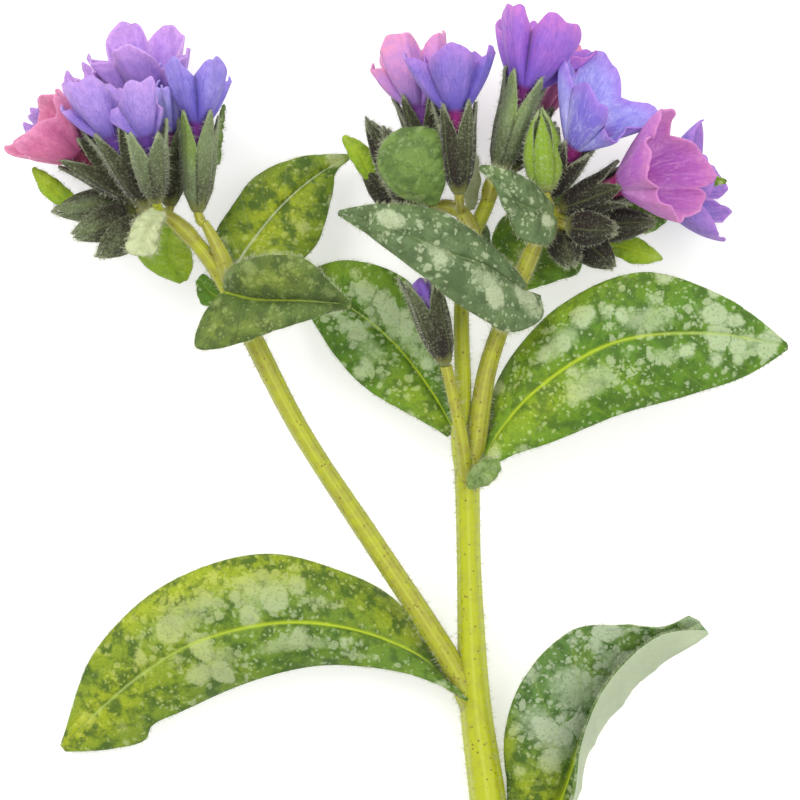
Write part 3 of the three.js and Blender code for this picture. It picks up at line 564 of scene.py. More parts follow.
def leafMaterial(name, look, ribTone, underside):
    material, tree, shader = newMaterial(name)
    coordinates = addNode(tree, "ShaderNodeTexCoord")
    place = coordinates.outputs["Object"]
    along = addNode(tree, "ShaderNodeSeparateXYZ", None, {"Vector": coordinates.outputs["UV"]}).outputs["Y"]
    rib, glow, silver, side = (addNode(tree, "ShaderNodeAttribute", {"attribute_name": key}).outputs["Fac"]
                               for key in ("rib", "glow", "silver", "side"))
    broad, mottle, grain = (
        addNode(tree, "ShaderNodeTexNoise", None,
                {"Vector": place, "Scale": leafPattern[key], "Detail": detail, "Roughness": roughness})
        for key, detail, roughness in (("broad", 3.0, 0.5), ("mottle", 4.0, 0.6), ("grain", 3.0, 0.6)))
    # Painted backlight: the glow patches, with a random cloud of tone, lead the blade from its mid colour to
    # the lime of light shining through it
    lit = addNode(tree, "ShaderNodeMath", multiplyAdd, {0: broad, 1: 0.8, 2: -0.4})
    lit = addNode(tree, "ShaderNodeMath", addClamped, {0: glow, 1: lit})
    color = addNode(tree, "ShaderNodeMix", mixColors, {"Factor": lit, "A": look["mid"], "B": look["glow"]})
    dim = addNode(tree, "ShaderNodeMapRange", smooth,
                  {"Value": mottle, "From Min": 0.58, "From Max": 0.38, "To Max": look["mottle"]})
    color = addNode(tree, "ShaderNodeMix", mixColors, {"Factor": dim, "A": color, "B": look["dark"]})

    bent = addNode(tree, "ShaderNodeVectorMath", multiplyAdd,
                   {0: mottle.outputs["Color"], 1: (leafPattern["bend"],) * 3, 2: place})
    cloud = addNode(tree, "ShaderNodeMath", multiplyAdd, {0: mottle, 1: 0.9, 2: silver})
    marks = addNode(tree, "ShaderNodeMapRange", smooth,
                    {"Value": cloud, "From Min": 0.85, "From Max": 1.4, "To Max": 0.6})
    for size in leafMarks:
        cells = addNode(tree, "ShaderNodeTexVoronoi", {"feature": "F1"},
                        {"Vector": bent, "Scale": size["scale"]})
        chance = addNode(tree, "ShaderNodeSeparateColor", None, {"Color": cells.outputs["Color"]})
        level = 0.0
        for amount, gain in ((chance, size["gain"]), (silver, size["share"]), (cells, -1.0),
                             (broad, 0.5), (grain, 0.12)):
            level = addNode(tree, "ShaderNodeMath", multiplyAdd, {0: amount, 1: gain, 2: level})
        mark = addNode(tree, "ShaderNodeMapRange", smooth,
                       {"Value": level, "From Min": 0.33, "From Max": 0.55, "To Max": size["strength"]})
        marks = addNode(tree, "ShaderNodeMath", {"operation": "MAXIMUM"}, {0: marks, 1: mark})
    amount = look["amount"] * (underLook["marks"] if underside else 1.0)
    marks = addNode(tree, "ShaderNodeMath", multiply, {0: marks, 1: amount})
    # Marks where backlight is painted take its glowSpot colour
    spot = addNode(tree, "ShaderNodeMix", mixColors,
                   {"Factor": glow, "A": look["spot"], "B": look["glowSpot"]})
    color = addNode(tree, "ShaderNodeMix", mixColors, {"Factor": marks, "A": color, "B": spot})

    # Side veins leave the rib and lean towards the tip
    lean = addNode(tree, "ShaderNodeMath", multiply, {0: side, 1: -leafPattern["lean"]})
    phase = addNode(tree, "ShaderNodeMath", multiplyAdd, {0: along, 1: leafPattern["veins"], 2: lean})
    saw = addNode(tree, "ShaderNodeMath", {"operation": "PINGPONG"}, {0: phase, 1: 0.5})
    vein = addNode(tree, "ShaderNodeMapRange", smooth,
                   {"Value": saw, "From Min": 0.06, "From Max": 0.0, "To Max": 0.1})
    ribColor = ribTones[ribTone]
    if ribTone == "lime":
        faded = addNode(tree, "ShaderNodeMapRange", smooth,
                        {"Value": along, "From Min": 0.45, "From Max": 0.8})
        ribColor = addNode(tree, "ShaderNodeMix", mixColors,
                           {"Factor": faded, "A": ribTones["lime"], "B": ribTones["limeTip"]})
    speck = addNode(tree, "ShaderNodeMapRange", smooth,
                    {"Value": grain, "From Min": 0.5, "From Max": 0.32, "To Max": 0.35})
    layers = [(vein, ribColor), (speck, look["dark"]), (rib, ribColor)]
    if underside:
        layers.append((underLook["veil"], underLook["tone"]))
    for amount, tone in layers:
        color = addNode(tree, "ShaderNodeMix", mixColors, {"Factor": amount, "A": color, "B": tone})

    height = addNode(tree, "ShaderNodeMath", multiplyAdd, {0: vein, 1: -1.2, 2: grain})
    bump = addNode(tree, "ShaderNodeBump", None, {"Height": height, "Strength": 0.6, "Distance": 0.0002})
    setInputs(tree, shader, {"Base Color": color, "Normal": bump, "Roughness": 0.6,
                             "Specular IOR Level": 0.35, "Sheen Weight": 0.05, "Subsurface Weight": 0.1,
                             "Subsurface Radius": (0.6, 1.0, 0.2), "Subsurface Scale": 0.001})
    return material


# What a leaf has where its own entry says nothing. Rib is the midrib's place across, 0 to 1, waves and
# wave are the margin's, and columns and rows are those of its grid.
plainLeaf = {"rib": 0.5, "ribHalf": 0.24, "waves": 3, "wave": 0.2, "columns": 28, "rows": 36,
             "glow": (), "silver": ()}
# Millimetres, but for dome (a share of the width), veinWidth (of the veins' spacing) and lag, which
# is how far one margin's waves are behind the other's (of half a wave)
leafRelief = {"rib": 0.28, "ribWidth": 0.42, "ribTaper": 0.14, "vein": 0.1, "veinWidth": 0.07,
              "quilt": 0.12, "dome": 0.1, "lag": 0.7, "thickness": 0.45}
marginLines = {}


def softPatches(patches, along, across):
    total = np.zeros_like(along)
    for centre, middle, reachAlong, reachAcross, strength in patches:
        far = ((along - centre) / reachAlong) ** 2 + ((across - middle) / reachAcross) ** 2
        total = np.maximum(total, strength * np.exp(-far * 1.6))
    return total


# Straight between the rails, with a dome over each span and margins that wave out of step
def leafSurface(leaf, across, along):
    spans = leaf.get("spans", [1] * (len(leaf["rails"]) - 1))
    edges = np.concatenate([[0], np.cumsum(spans)]) / sum(spans)
    step = np.linspace(0, 1, fineSteps)
    lines = []
    for rail in leaf["rails"]:
        line = smoothLine([at(point) for point in rail], fineSteps)
        lines.append(np.column_stack([np.interp(along, step, line[:, axis]) for axis in range(3)]))
    place = np.clip(np.searchsorted(edges, across, side="right") - 1, 0, len(spans) - 1)
    stacked = np.stack(lines)
    rows = np.arange(len(along))
    start = stacked[place, rows]
    end = stacked[place + 1, rows]
    part = (across - edges[place]) / (edges[place + 1] - edges[place])
    width = np.linalg.norm(end - start, axis=1)
    points = start + (end - start) * part[:, None]
    fade = np.sin(np.pi * along)
    edge = np.abs(2 * across - 1) ** 3
    lag = np.where(across < 0.5, 0, math.pi * leafRelief["lag"])
    points[:, 2] += leafRelief["dome"] * width * 4 * part * (1 - part) * fade
    wave = np.sin(2 * np.pi * leaf["waves"] * along + lag)
    points[:, 2] += leaf["wave"] * millimetre * edge * fade * wave
    return points


# Upward normals, from the surface a tiny step to either side
def leafNormals(leaf, across, along, tiny=0.004):
    toRight, toTip = (leafSurface(leaf, np.clip(across + aside, 0, 1), np.clip(along + ahead, 0, 1))
                      - leafSurface(leaf, np.clip(across - aside, 0, 1), np.clip(along - ahead, 0, 1))
                      for aside, ahead in ((tiny, 0), (0, tiny)))
    normal = unit(np.cross(toRight, toTip))
    return -normal if normal[:, 2].mean() < 0 else normal


def halfWidth(leaf, along):
    one, other = (leafSurface(leaf, np.full_like(along, edge), along) for edge in (0, 1))
    return np.linalg.norm(other - one, axis=1) / 2


# Midrib and side veins are sunk, and the blade swells between them
def leafRelieved(leaf, across, along):
    points = leafSurface(leaf, across, along)
    half = halfWidth(leaf, along)
    side = np.abs(across - leaf["rib"]) * 2
    fromRib = side * half / millimetre
    groove = leafRelief["rib"] * np.exp(-(fromRib / leafRelief["ribWidth"]) ** 2)
    phase = along * leafPattern["veins"] - side * leafPattern["lean"]
    near = np.abs(phase - np.round(phase))
    vein = leafRelief["vein"] * np.exp(-(near / leafRelief["veinWidth"]) ** 2)
    quilt = leafRelief["quilt"] * (near * 2) * np.minimum(1, fromRib / 2)
    fade = np.clip(np.minimum(half / millimetre / 2, 1), 0, 1) * np.clip((1 - side) * 6, 0, 1)
    lift = (quilt - vein) * fade - groove * np.minimum(1, half / millimetre / 1.5)
    return points + leafNormals(leaf, across, along) * lift[:, None] * millimetre


def leafPiece(name, leaf):
    sample = leafSurface(leaf, np.array([0.2, 0.8, 0.2]), np.array([0.4, 0.4, 0.6]))
    flipped = np.cross(sample[1] - sample[0], sample[2] - sample[0])[2] < 0

    def pointsAt(across, along):
        return leafRelieved(leaf, 1 - across if flipped else across, along)

    piece = laidSheet(name + "Blade", leaf["columns"], leaf["rows"], pointsAt)
    across, along = sheetPlaces(piece)
    if flipped:
        across = 1 - across
    side = np.abs(across - leaf["rib"]) * 2
    fromRib = side * halfWidth(leaf, along) / millimetre
    ribHalf = leaf["ribHalf"] - leafRelief["ribTaper"] * along
    storeValue(piece, "rib", leaf["ribShow"] * np.exp(-(fromRib / ribHalf) ** 4)
               * np.clip((1 - along) * 8, 0, 1))
    storeValue(piece, "side", side)
    # Glow is painted backlight: how much light shining through the blade each place is painted with
    for key in ("glow", "silver"):
        storeValue(piece, key, softPatches(leaf[key], along, across * 2 - 1))
    look = leafLooks[leaf["look"]]
    bright = leaf["look"] in brightLooks
    tone = leaf.get("ribTone", "lime" if bright else "downy")
    for face, underside in (("Blade", False), ("Underside", True)):
        piece.data.materials.append(leafMaterial(name + face, look, tone, underside))
    steps = np.linspace(0.02, 0.99, 300)
    margins = []
    for edge, inner in ((0.0, 0.03), (1.0, 0.97)):
        rim = leafSurface(leaf, np.full_like(steps, edge), steps)
        margins.append((rim, unit(rim - leafSurface(leaf, np.full_like(steps, inner), steps))))
    marginLines[name] = margins
    thicken(piece, leafRelief["thickness"], 0.0, 1)
    settle(piece, [name])
    return piece


leafPieces = {name: leafPiece(name, {**plainLeaf, **leaf}) for name, leaf in leaves.items()}
print("leaves are laid:", len(leafPieces))


# A tube along a smooth line, with ribs lengthwise where ridges are asked for, and shut ends
def bentTube(name, path, radii, sides, steps, ridges=0, ridge=0.0, twist=0.0):
    line = smoothLine(path, steps + 1)
    size = smoothLine([(i, radius) for i, radius in enumerate(radii)], fineSteps)
    radius = np.interp(np.linspace(0, len(radii) - 1, steps + 1), size[:, 0], size[:, 1]) * millimetre
    tangent = unit(np.gradient(line, axis=0))
    normal = np.zeros_like(line)
    start = np.cross(tangent[0], [0, 0, 1.0])
    normal[0] = unit(start if np.linalg.norm(start) > 1e-6 else np.cross(tangent[0], [1.0, 0, 0]))
    for i in range(1, len(line)):
        normal[i] = unit(normal[i - 1] - tangent[i] * np.dot(normal[i - 1], tangent[i]))
    binormal = np.cross(tangent, normal)

    def pointsAt(across, along):
        row = np.clip(np.round(along * steps).astype(int), 0, steps)
        angle = across * 2 * np.pi
        bulge = 1 + ridge * (np.cos(ridges * angle + twist * along * 2 * np.pi) - 1)
        reach = (radius[row] * bulge)[:, None]
        return line[row] + normal[row] * np.cos(angle)[:, None] * reach \
            + binormal[row] * np.sin(angle)[:, None] * reach

    tube = laidSheet(name, sides, steps, pointsAt, closed=True)
    bpy.ops.object.mode_set(mode="EDIT")
    bpy.ops.mesh.select_all(action="DESELECT")
    bpy.ops.mesh.select_mode(type="EDGE")
    bpy.ops.mesh.select_non_manifold(extend=False, use_wire=False, use_boundary=True, use_multi_face=False,
                                     use_non_contiguous=False, use_verts=False)
    bpy.ops.mesh.edge_face_add()
    bpy.ops.object.mode_set(mode="OBJECT")
    return tube


# Stem skin: green herb stem, smooth between its ribs, with a dull wet gloss and brown specks.
# A tube's tone leads from the bright colour to the dull one. Scales are cells in a metre: specks 0.3 mm
# wide and 0.8 mm apart, in patches of 2.4 mm, a mottle of 1.6 mm and clouds of 11 mm.
stemLook = {"bright": "#acb40a", "dull": "#918a36", "pale": "#c3cc55", "speck": "#74561e"}
stemPattern = {"ribs": 6, "broad": 90, "mottle": 620, "specks": 1300, "fewer": 420, "grain": 1800}


def stemMaterial():
    material, tree, shader = newMaterial("stemSkin")
    coordinates = addNode(tree, "ShaderNodeTexCoord")
    place = coordinates.outputs["Object"]
    around = addNode(tree, "ShaderNodeSeparateXYZ", None, {"Vector": coordinates.outputs["UV"]}).outputs["X"]
    tone = addNode(tree, "ShaderNodeAttribute", {"attribute_name": "tone"}).outputs["Fac"]
    broad, mottle, fewer, grain = (
        addNode(tree, "ShaderNodeTexNoise", None,
                {"Vector": place, "Scale": stemPattern[key], "Detail": detail, "Roughness": roughness})
        for key, detail, roughness in (("broad", 3.0, 0.5), ("mottle", 4.0, 0.6), ("fewer", 1.0, 0.5),
                                       ("grain", 3.0, 0.5)))
    ribs = addNode(tree, "ShaderNodeMath", multiply, {0: around, 1: stemPattern["ribs"]})
    ribs = addNode(tree, "ShaderNodeMath", {"operation": "PINGPONG"}, {0: ribs, 1: 0.5})
    stripe = addNode(tree, "ShaderNodeMapRange", smooth,
                     {"Value": ribs, "From Min": 0.28, "From Max": 0.5, "To Max": 0.4})
    mottle = addNode(tree, "ShaderNodeMapRange", None,
                     {"Value": mottle, "From Min": 0.35, "From Max": 0.65, "To Min": -0.3, "To Max": 0.3})
    mixture = addNode(tree, "ShaderNodeMath", multiplyAdd, {0: broad, 1: 0.5, 2: tone})
    mixture = addNode(tree, "ShaderNodeMath", addClamped, {0: mixture, 1: mottle})
    cells = addNode(tree, "ShaderNodeTexVoronoi", {"feature": "F1"},
                    {"Vector": place, "Scale": stemPattern["specks"]})
    specks = addNode(tree, "ShaderNodeMapRange", smooth,
                     {"Value": cells, "From Min": 0.26, "From Max": 0.1, "To Max": 0.85})
    some = addNode(tree, "ShaderNodeMapRange", None, {"Value": fewer, "From Min": 0.42, "From Max": 0.54})
    specks = addNode(tree, "ShaderNodeMath", multiply, {0: specks, 1: some})
    color = stemLook["bright"]
    for amount, key in ((mixture, "dull"), (stripe, "pale"), (specks, "speck")):
        color = addNode(tree, "ShaderNodeMix", mixColors, {"Factor": amount, "A": color, "B": stemLook[key]})
    bump = addNode(tree, "ShaderNodeBump", None, {"Height": grain, "Strength": 0.3, "Distance": 0.0002})
    setInputs(tree, shader, {"Base Color": color, "Normal": bump, "Roughness": 0.42,
                             "Subsurface Weight": 0.15, "Subsurface Radius": (0.8, 1.0, 0.2),
                             "Subsurface Scale": 0.0015})
    return material


stemSkin = stemMaterial()


def stemTube(name, path, radii, tone, sides, steps, ridges=0, ridge=0.0, twist=0.0):
    tube = bentTube(name, path, radii, sides, steps, ridges, ridge, twist)
    storeValue(tube, "tone", np.full(len(tube.data.vertices), tone))
    tube.data.materials.append(stemSkin)
    return tube


stalkTone = {"main": -0.25, "left": 0.2, "middle": -0.2, "right": 0.35, "bud": 0.3}
stalkShape = {"sides": 30, "steps": 40, "stepsEach": 14, "ridge": 0.045, "twist": 0.15}
tubes = []
for name, stalk in stalks.items():
    steps = stalkShape["steps"] + stalkShape["stepsEach"] * len(stalk["path"])
    tubes.append(stemTube("stalk_" + name, [at(point) for point in stalk["path"]], stalk["radii"],
                          stalkTone[name], stalkShape["sides"], steps, stemPattern["ribs"],
                          stalkShape["ridge"], stalkShape["twist"]))
stem = joined(tubes, "stemStalks")
settle(stem, ["stem"])
print("stalks are bent")

# Flowers: root is where the stalk meets the calyx, mouth the way that it points, calyx its length.
# The tips are the five lobes' outer ends, the first one nearest the eye, then round by the right.
# Shade runs from a dark brown calyx (0) over grey-green (1) to bright green (1.5).
flowers = {
    "left_inner": {
        "flower_left_inner": {
            "root": (198, 212, 15), "mouth": (197, 62, 17), "calyx": 12.4, "tone": "blue", "shade": 0.85,
            "tips": [(219, 62, 20), (229, 79, 14), (196, 74, 10), (170, 78, 12), (171, 61, 20)],
            "tints": (0.6, 0.85, 0.7, 0.5, 0.5),
            "sizes": (1.5, 0.8, 1, 0.8, 1.5),
            "round": (4.4, 0.7),
        },
    },
    "left": {
        "flower_left_top": {
            "root": (168, 180, 8), "mouth": (142, 36, 7), "calyx": 10, "tone": "orchid", "shade": 0.3,
            "notch": (0.82, 0.7, 0.82, 0.82, 0.82),
            "tips": [(133, 48, 14), (188, 55, 11), (172, 27, 4.5), (120, 28, 4.5), (87, 61, 9)],
            "tints": (0.35, 0.85, 0.95, 0.95, 0.5),
            "keel": 0.06,
            "sizes": (1, 0.8, 1.3, 1.3, 0.8),
            "round": (4.4, 0.7),
        },
        "flower_left_shoulder": {
            "root": (148, 206, 18), "mouth": (85, 84, 21), "calyx": 11, "tone": "iris", "shade": 0.2,
            "notch": 0.9,
            "tips": [(81, 82, 25), (132, 100, 19), (114, 86, 14), (88, 88, 13), (61, 112, 19)],
            "tints": (0.95, 0.7, 0.7, 0.8, 0.5),
            "keel": 0.04, "round": (4.0, 0.8),
            "sizes": (2.2, 1, 1, 1, 1),
        },
        "flower_left_front": {
            "root": (156, 202, 19), "mouth": (139, 84, 26), "calyx": 10.5, "tone": "iris", "shade": 0.6,
            "notch": 0.9,
            "tips": [(139, 81, 28), (162, 108, 25), (151, 90, 21), (126, 89, 19), (105, 114, 21)],
            "tints": (1.0, 0.8, 0.9, 0.7, 0.6),
            "keel": 0.06,
            "sizes": (2.2, 1, 1, 1, 1),
            "round": (4.4, 0.7),
        },
        "flower_left_slim": {
            "root": (170, 206, 13), "mouth": (168, 84, 14), "calyx": 10.2, "tone": "pale", "shade": 0.4,
            "tips": [(163, 86, 19), (180, 94, 16), (177, 78, 9), (160, 66, 8), (154, 86, 14)],
            "tints": (0.6, 0.8, 0.6, 0.6, 0.6),
        },
        "flower_left_rear": {
            "root": (134, 186, 7), "mouth": (72, 70, 5), "calyx": 10.5, "tone": "orchid", "shade": 0.1,
            "tips": [(80, 78, 11), (99, 74, 8), (88, 66, 1.3), (66, 74, 0.8), (61, 88, 6)],
            "tints": (1.0, 0.8, 1.0, 1.0, 0.9),
        },
        "flower_left_edge": {
            "root": (110, 180, 6), "mouth": (28, 108, 4), "calyx": 9, "tone": "orchid", "shade": 0.05,
            "tips": [(30, 112, 8), (42, 98, 6.5), (40, 104, 0.95), (26, 128, 0.85), (27, 133, 5)],
            "tints": (0.6, 0.6, 0.7, 0.7, 0.6),
        },
        "flower_left_pink": {
            "root": (140, 198, 14.5), "mouth": (38, 127, 15.5), "calyx": 10.5, "tone": "pink", "shade": 0.05,
            "tips": [(21, 140, 21), (59, 91, 19), (45, 97, 11), (9, 147, 10), (30, 156, 17)],
            "tints": (0.5, 0.9, 0.2, 0.5, 0.4),
            "notch": (0.76, 0.74, 0.76, 0.76, 0.8), "sizes": (1.8, 0.7, 1, 1, 1),
        },
    },
    "middle": {
        "flower_middle_left": {
            "root": (434, 194, 12.5), "mouth": (409, 48, 13), "calyx": 12.5, "tone": "lilac", "shade": 0.05,
            "tips": [(391, 38, 17), (445, 34, 14), (436, 40, 6), (388, 52, 6), (370, 70, 12)],
            "tints": (0.75, 0.85, 0.9, 0.8, 0.7),
            "sizes": (1.7, 1.2, 1, 1, 0.9),
            "round": (4.4, 0.7),
        },
        "flower_middle_blue": {
            "root": (459, 194, 18), "mouth": (454, 54, 21.5), "calyx": 11.6, "tone": "violet", "shade": 0.15,
            "tips": [(452, 45, 26), (493, 48, 22), (478, 58, 13), (430, 56, 13), (403, 56, 21)],
            "tints": (0.45, 0.1, 0.3, 0.5, 0.7),
            "sizes": (2.1, 1.1, 1, 1, 1.1),
        },
    },
    "middle_top": {
        "flower_middle_top": {
            "root": (498, 174, 15.5), "mouth": (543, 24, 18), "calyx": 12.5, "tone": "magenta", "shade": 0.6,
            "tips": [(569, 24, 22), (595, 54, 14), (548, 27, 9), (499, 24, 10), (509, 6, 20)],
            "tints": (0.55, 0.5, 0.7, 0.6, 0.65),
            "keel": 0.06,
            "sizes": (1.8, 0.8, 1, 1, 1.3),
            "round": (4.4, 0.7),
        },
        "flower_middle_rear": {
            "root": (508, 172, 10), "mouth": (558, 66, 7), "calyx": 9, "tone": "pink", "shade": 0.3,
            "tips": [(566, 70, 12), (585, 62, 8), (582, 52, 3), (553, 56, 3), (545, 76, 8)],
            "tints": (1.0, 1.0, 1.0, 1.0, 1.0),
        },
    },
    "right": {
        "flower_right_blue": {
            "root": (549, 196, 14), "mouth": (598, 100, 23), "calyx": 9.5, "tone": "sky", "shade": -0.12,
            "tips": [(594, 98, 27), (613, 139, 24), (656, 112, 17), (603, 57, 14), (562, 56, 18)],
            "tints": (0.1, 0.5, 0.85, 0.9, 0.9),
            "keel": 0.04, "notch": (0.8, 0.95, 0.92, 0.8, 0.8),
            "sizes": (1.5, 0.9, 1.2, 1.4, 1),
        },
        "flower_right_pink": {
            "root": (560, 208, 15), "mouth": (678, 162, 18), "calyx": 9, "tone": "mauve", "shade": -0.1,
            "tips": [(646, 158, 26.5), (672, 217, 23), (701, 209, 15.5), (706, 160, 14.5), (666, 108, 20)],
            "roll": 0,
            "tints": (0.3, 0.75, 0.5, 0.45, 0.8),
            "keel": 0.04, "notch": (0.92, 0.92, 0.95, 0.93, 0.85),
            "sizes": (1, 1, 1.2, 1.6, 1),
        },
        "flower_right_rear": {
            "root": (592, 206, 8.5), "mouth": (704, 184, 7.5), "calyx": 9, "tone": "violet", "shade": 0.0,
            "tips": [(712, 172, 10.5), (719, 240, 8), (726, 214, 1.5), (724, 184, 1.0), (701, 120, 8)],
            "tints": (0.7, 0.9, 0.9, 0.9, 0.6),
            "round": (4.0, 0.7),
        },
    },
}
buds = {
    "left": [
        {"root": (134, 202, 11), "tip": (52, 211, 10), "shade": 0.4},
        {"root": (136, 212, 13), "tip": (70, 237, 14), "shade": 0.25},
        {"root": (142, 220, 14), "tip": (97, 257, 15), "shade": 0.35},
    ],
    "middle": [
        {"root": (420, 212, 13), "tip": (366, 118, 12)},
        {"root": (414, 212, 15), "tip": (384, 126, 14)},
        {"root": (412, 214, 10), "tip": (362, 168, 9)},
    ],
    "right": [
        {"root": (545, 192, 18), "tip": (541, 108, 20), "radius": 2.3, "shade": 1.5, "notch": 0.45},
        {"root": (584, 226, 12), "tip": (656, 222, 12), "shade": 0.0},
        {"root": (566, 226, 16), "tip": (618, 230, 17), "shade": 0.0},
        {"root": (560, 232, 14), "tip": (572, 269, 15), "shade": 0.1},
        {"root": (574, 234, 12), "tip": (615, 268, 12), "shade": 0.0},
    ],
    "left_inner": [],
    "middle_top": [],
}
spines = {
    "left_inner": [(233, 299, 13.2), (226, 268, 14.6), (214, 240, 15), (204, 222, 15)],
    "left": [(203, 251, 14.2), (183, 229, 14.4), (164, 214, 14.6), (150, 208, 14.2)],
    "middle": [(468, 258, 12.9), (472, 236, 14.6), (461, 212, 15), (444, 206, 14.8), (426, 210, 13.6)],
    "middle_top": [(486, 206, 13.9), (494, 180, 14.8), (498, 174, 14.2), (504, 172, 13.0)],
    "right": [(514, 293, 13.0), (532, 252, 13.9), (545, 226, 14.8), (556, 218, 14.8), (570, 220, 14.2)],
}

# Petal: thin and silky, with fine veins; gives a soft satin face that is pinker at its margin, with painted
# shade in the creases by the notches, darker towards the throat. A lobe's tint (0 to 1) leads from the body
# colour to the second one.
petalTones = {
    "blue": {"throat": "#7a2f8c", "deep": "#6456bc", "body": "#8074cf", "second": "#a99de6",
             "rim": "#a78fe0", "vein": "#5345ae", "veins": 0.5},
    "violet": {"throat": "#a0287c", "deep": "#6053b8", "body": "#7768c2", "second": "#a180cc",
               "rim": "#bd86d6", "vein": "#5a47a6", "veins": 0.6},
    "iris": {"throat": "#6a3f9c", "deep": "#6f5cba", "body": "#8a70c6", "second": "#ae90da",
             "rim": "#c49bde", "vein": "#6450aa", "veins": 0.55},
    "orchid": {"throat": "#6a2f92", "deep": "#7a5fbe", "body": "#9878ca", "second": "#cb9fe4",
               "rim": "#d3a3e2", "vein": "#7755b0", "veins": 0.3},
    "sky": {"throat": "#a3237e", "deep": "#6c5cc8", "body": "#7f6fd2", "second": "#a5a3e6",
            "rim": "#a97bd4", "vein": "#c6c5f2", "veins": 0.65},
    "pale": {"throat": "#98307e", "deep": "#7468da", "body": "#8f88e4", "second": "#b5aeee",
             "rim": "#b9a2e6", "vein": "#7d6fd0", "veins": 0.25},
    "magenta": {"throat": "#7c1f74", "deep": "#6f55c4", "body": "#8f6ad0", "second": "#b66fc9",
                "rim": "#c878c6", "vein": "#7348b0", "veins": 0.6},
    "mauve": {"throat": "#a81f68", "deep": "#a04fb4", "body": "#b45fbe", "second": "#c87cbe",
              "rim": "#d184b8", "vein": "#dca4d8", "veins": 0.65},
    "pink": {"throat": "#6d1838", "deep": "#a84a78", "body": "#c9648f", "second": "#df86ae",
             "rim": "#e699bc", "vein": "#9c4470", "veins": 0.45},
    "lilac": {"throat": "#8a4aa4", "deep": "#9a80d4", "body": "#bd90da", "second": "#e39acb",
              "rim": "#e895b4", "vein": "#9c6cc0", "veins": 0.35},
}
# Clouds of 4 mm and a mottle of 0.8 mm, as cells in a metre. Veins are counted around the corolla, so
# they are about 0.8 mm apart at its rim.
petalPattern = {"cloud": 240, "mottle": 1300, "veins": (46, 3, 1)}


def petalMaterial(name, look, inside):
    material, tree, shader = newMaterial(name)
    coordinates = addNode(tree, "ShaderNodeTexCoord")
    place = coordinates.outputs["Object"]
    limb, crease, tint = (addNode(tree, "ShaderNodeAttribute", {"attribute_name": key}).outputs["Fac"]
                          for key in ("limb", "crease", "tint"))
    cloud = addNode(tree, "ShaderNodeTexNoise", None,
                    {"Vector": place, "Scale": petalPattern["cloud"], "Detail": 3.0})
    mottle = addNode(tree, "ShaderNodeTexNoise", None,
                     {"Vector": place, "Scale": petalPattern["mottle"], "Detail": 4.0, "Roughness": 0.65})
    stretched = addNode(tree, "ShaderNodeMapping", None,
                        {"Vector": coordinates.outputs["UV"], "Scale": petalPattern["veins"]})
    lines = addNode(tree, "ShaderNodeTexNoise", None,
                    {"Vector": stretched, "Scale": 1.0, "Detail": 4.0, "Roughness": 0.62, "Distortion": 0.7})
    blend = addNode(tree, "ShaderNodeMath", {"operation": "ADD"}, {0: tint, 1: -0.65})
    blend = addNode(tree, "ShaderNodeMath", {"operation": "MULTIPLY_ADD", "use_clamp": True},
                    {0: cloud, 1: 1.3, 2: blend})
    # The throat's colours reach further out inside than outside
    deep = addNode(tree, "ShaderNodeMapRange", smooth,
                   {"Value": limb, "From Min": 0.95 if inside else 0.6, "From Max": 0.1, "To Max": 0.8})
    foot = addNode(tree, "ShaderNodeMapRange", smooth,
                   {"Value": limb, "From Min": 0.5 if inside else 0.13, "From Max": 0.0, "To Max": 0.95})
    edge = addNode(tree, "ShaderNodeMath", multiplyAdd, {0: cloud, 1: 0.3, 2: limb})
    rim = addNode(tree, "ShaderNodeMapRange", smooth,
                  {"Value": edge, "From Min": 0.84, "From Max": 1.18, "To Max": 0.8})
    inner = addNode(tree, "ShaderNodeMapRange", smooth, {"Value": limb, "From Min": 1.0, "From Max": 0.35})
    # Painted shade in the creases by the notches, stronger towards the throat, in the vein colour
    creaseShade = addNode(tree, "ShaderNodeMapRange", smooth,
                   {"Value": crease, "From Min": 0.5, "From Max": 1.0, "To Max": 0.6})
    creaseShade = addNode(tree, "ShaderNodeMath", multiply, {0: creaseShade, 1: inner})
    # Veins run where the stretched noise crosses its middle, and fade at the lobe's edge
    sharp = addNode(tree, "ShaderNodeMath", {"operation": "ADD"}, {0: lines, 1: -0.5})
    sharp = addNode(tree, "ShaderNodeMath", {"operation": "ABSOLUTE"}, {0: sharp})
    sharp = addNode(tree, "ShaderNodeMapRange", smooth,
                    {"Value": sharp, "From Min": 0.035, "From Max": 0.0, "To Max": look["veins"]})
    faint = addNode(tree, "ShaderNodeMapRange", smooth,
                    {"Value": limb, "From Min": 1.0, "From Max": 0.6, "To Min": 0.35})
    sharp = addNode(tree, "ShaderNodeMath", multiply, {0: sharp, 1: faint})
    dim = addNode(tree, "ShaderNodeMapRange", smooth,
                  {"Value": mottle, "From Min": 0.62, "From Max": 0.35, "To Max": 0.3})
    color = look["body"]
    for amount, tone in ((blend, "second"), (deep, "deep"), (rim, "rim"), (creaseShade, "vein"), (sharp, "vein"),
                         (dim, "deep"), (foot, "throat")):
        color = addNode(tree, "ShaderNodeMix", mixColors, {"Factor": amount, "A": color, "B": look[tone]})
    height = addNode(tree, "ShaderNodeMath", multiplyAdd, {0: mottle, 1: 0.5, 2: lines})
    bump = addNode(tree, "ShaderNodeBump", None, {"Height": height, "Strength": 0.6, "Distance": 0.00035})
    setInputs(tree, shader, {"Base Color": color, "Normal": bump, "Roughness": 0.6,
                             "Specular IOR Level": 0.35, "Sheen Weight": 0.08, "Subsurface Weight": 0.08,
                             "Subsurface Radius": (1.0, 0.6, 1.0), "Subsurface Scale": 0.0005})
    return material


petalMaterials = {tone: (petalMaterial("petal" + tone.capitalize(), look, False),
                         petalMaterial("petalInside" + tone.capitalize(), look, True))
                  for tone, look in petalTones.items()}

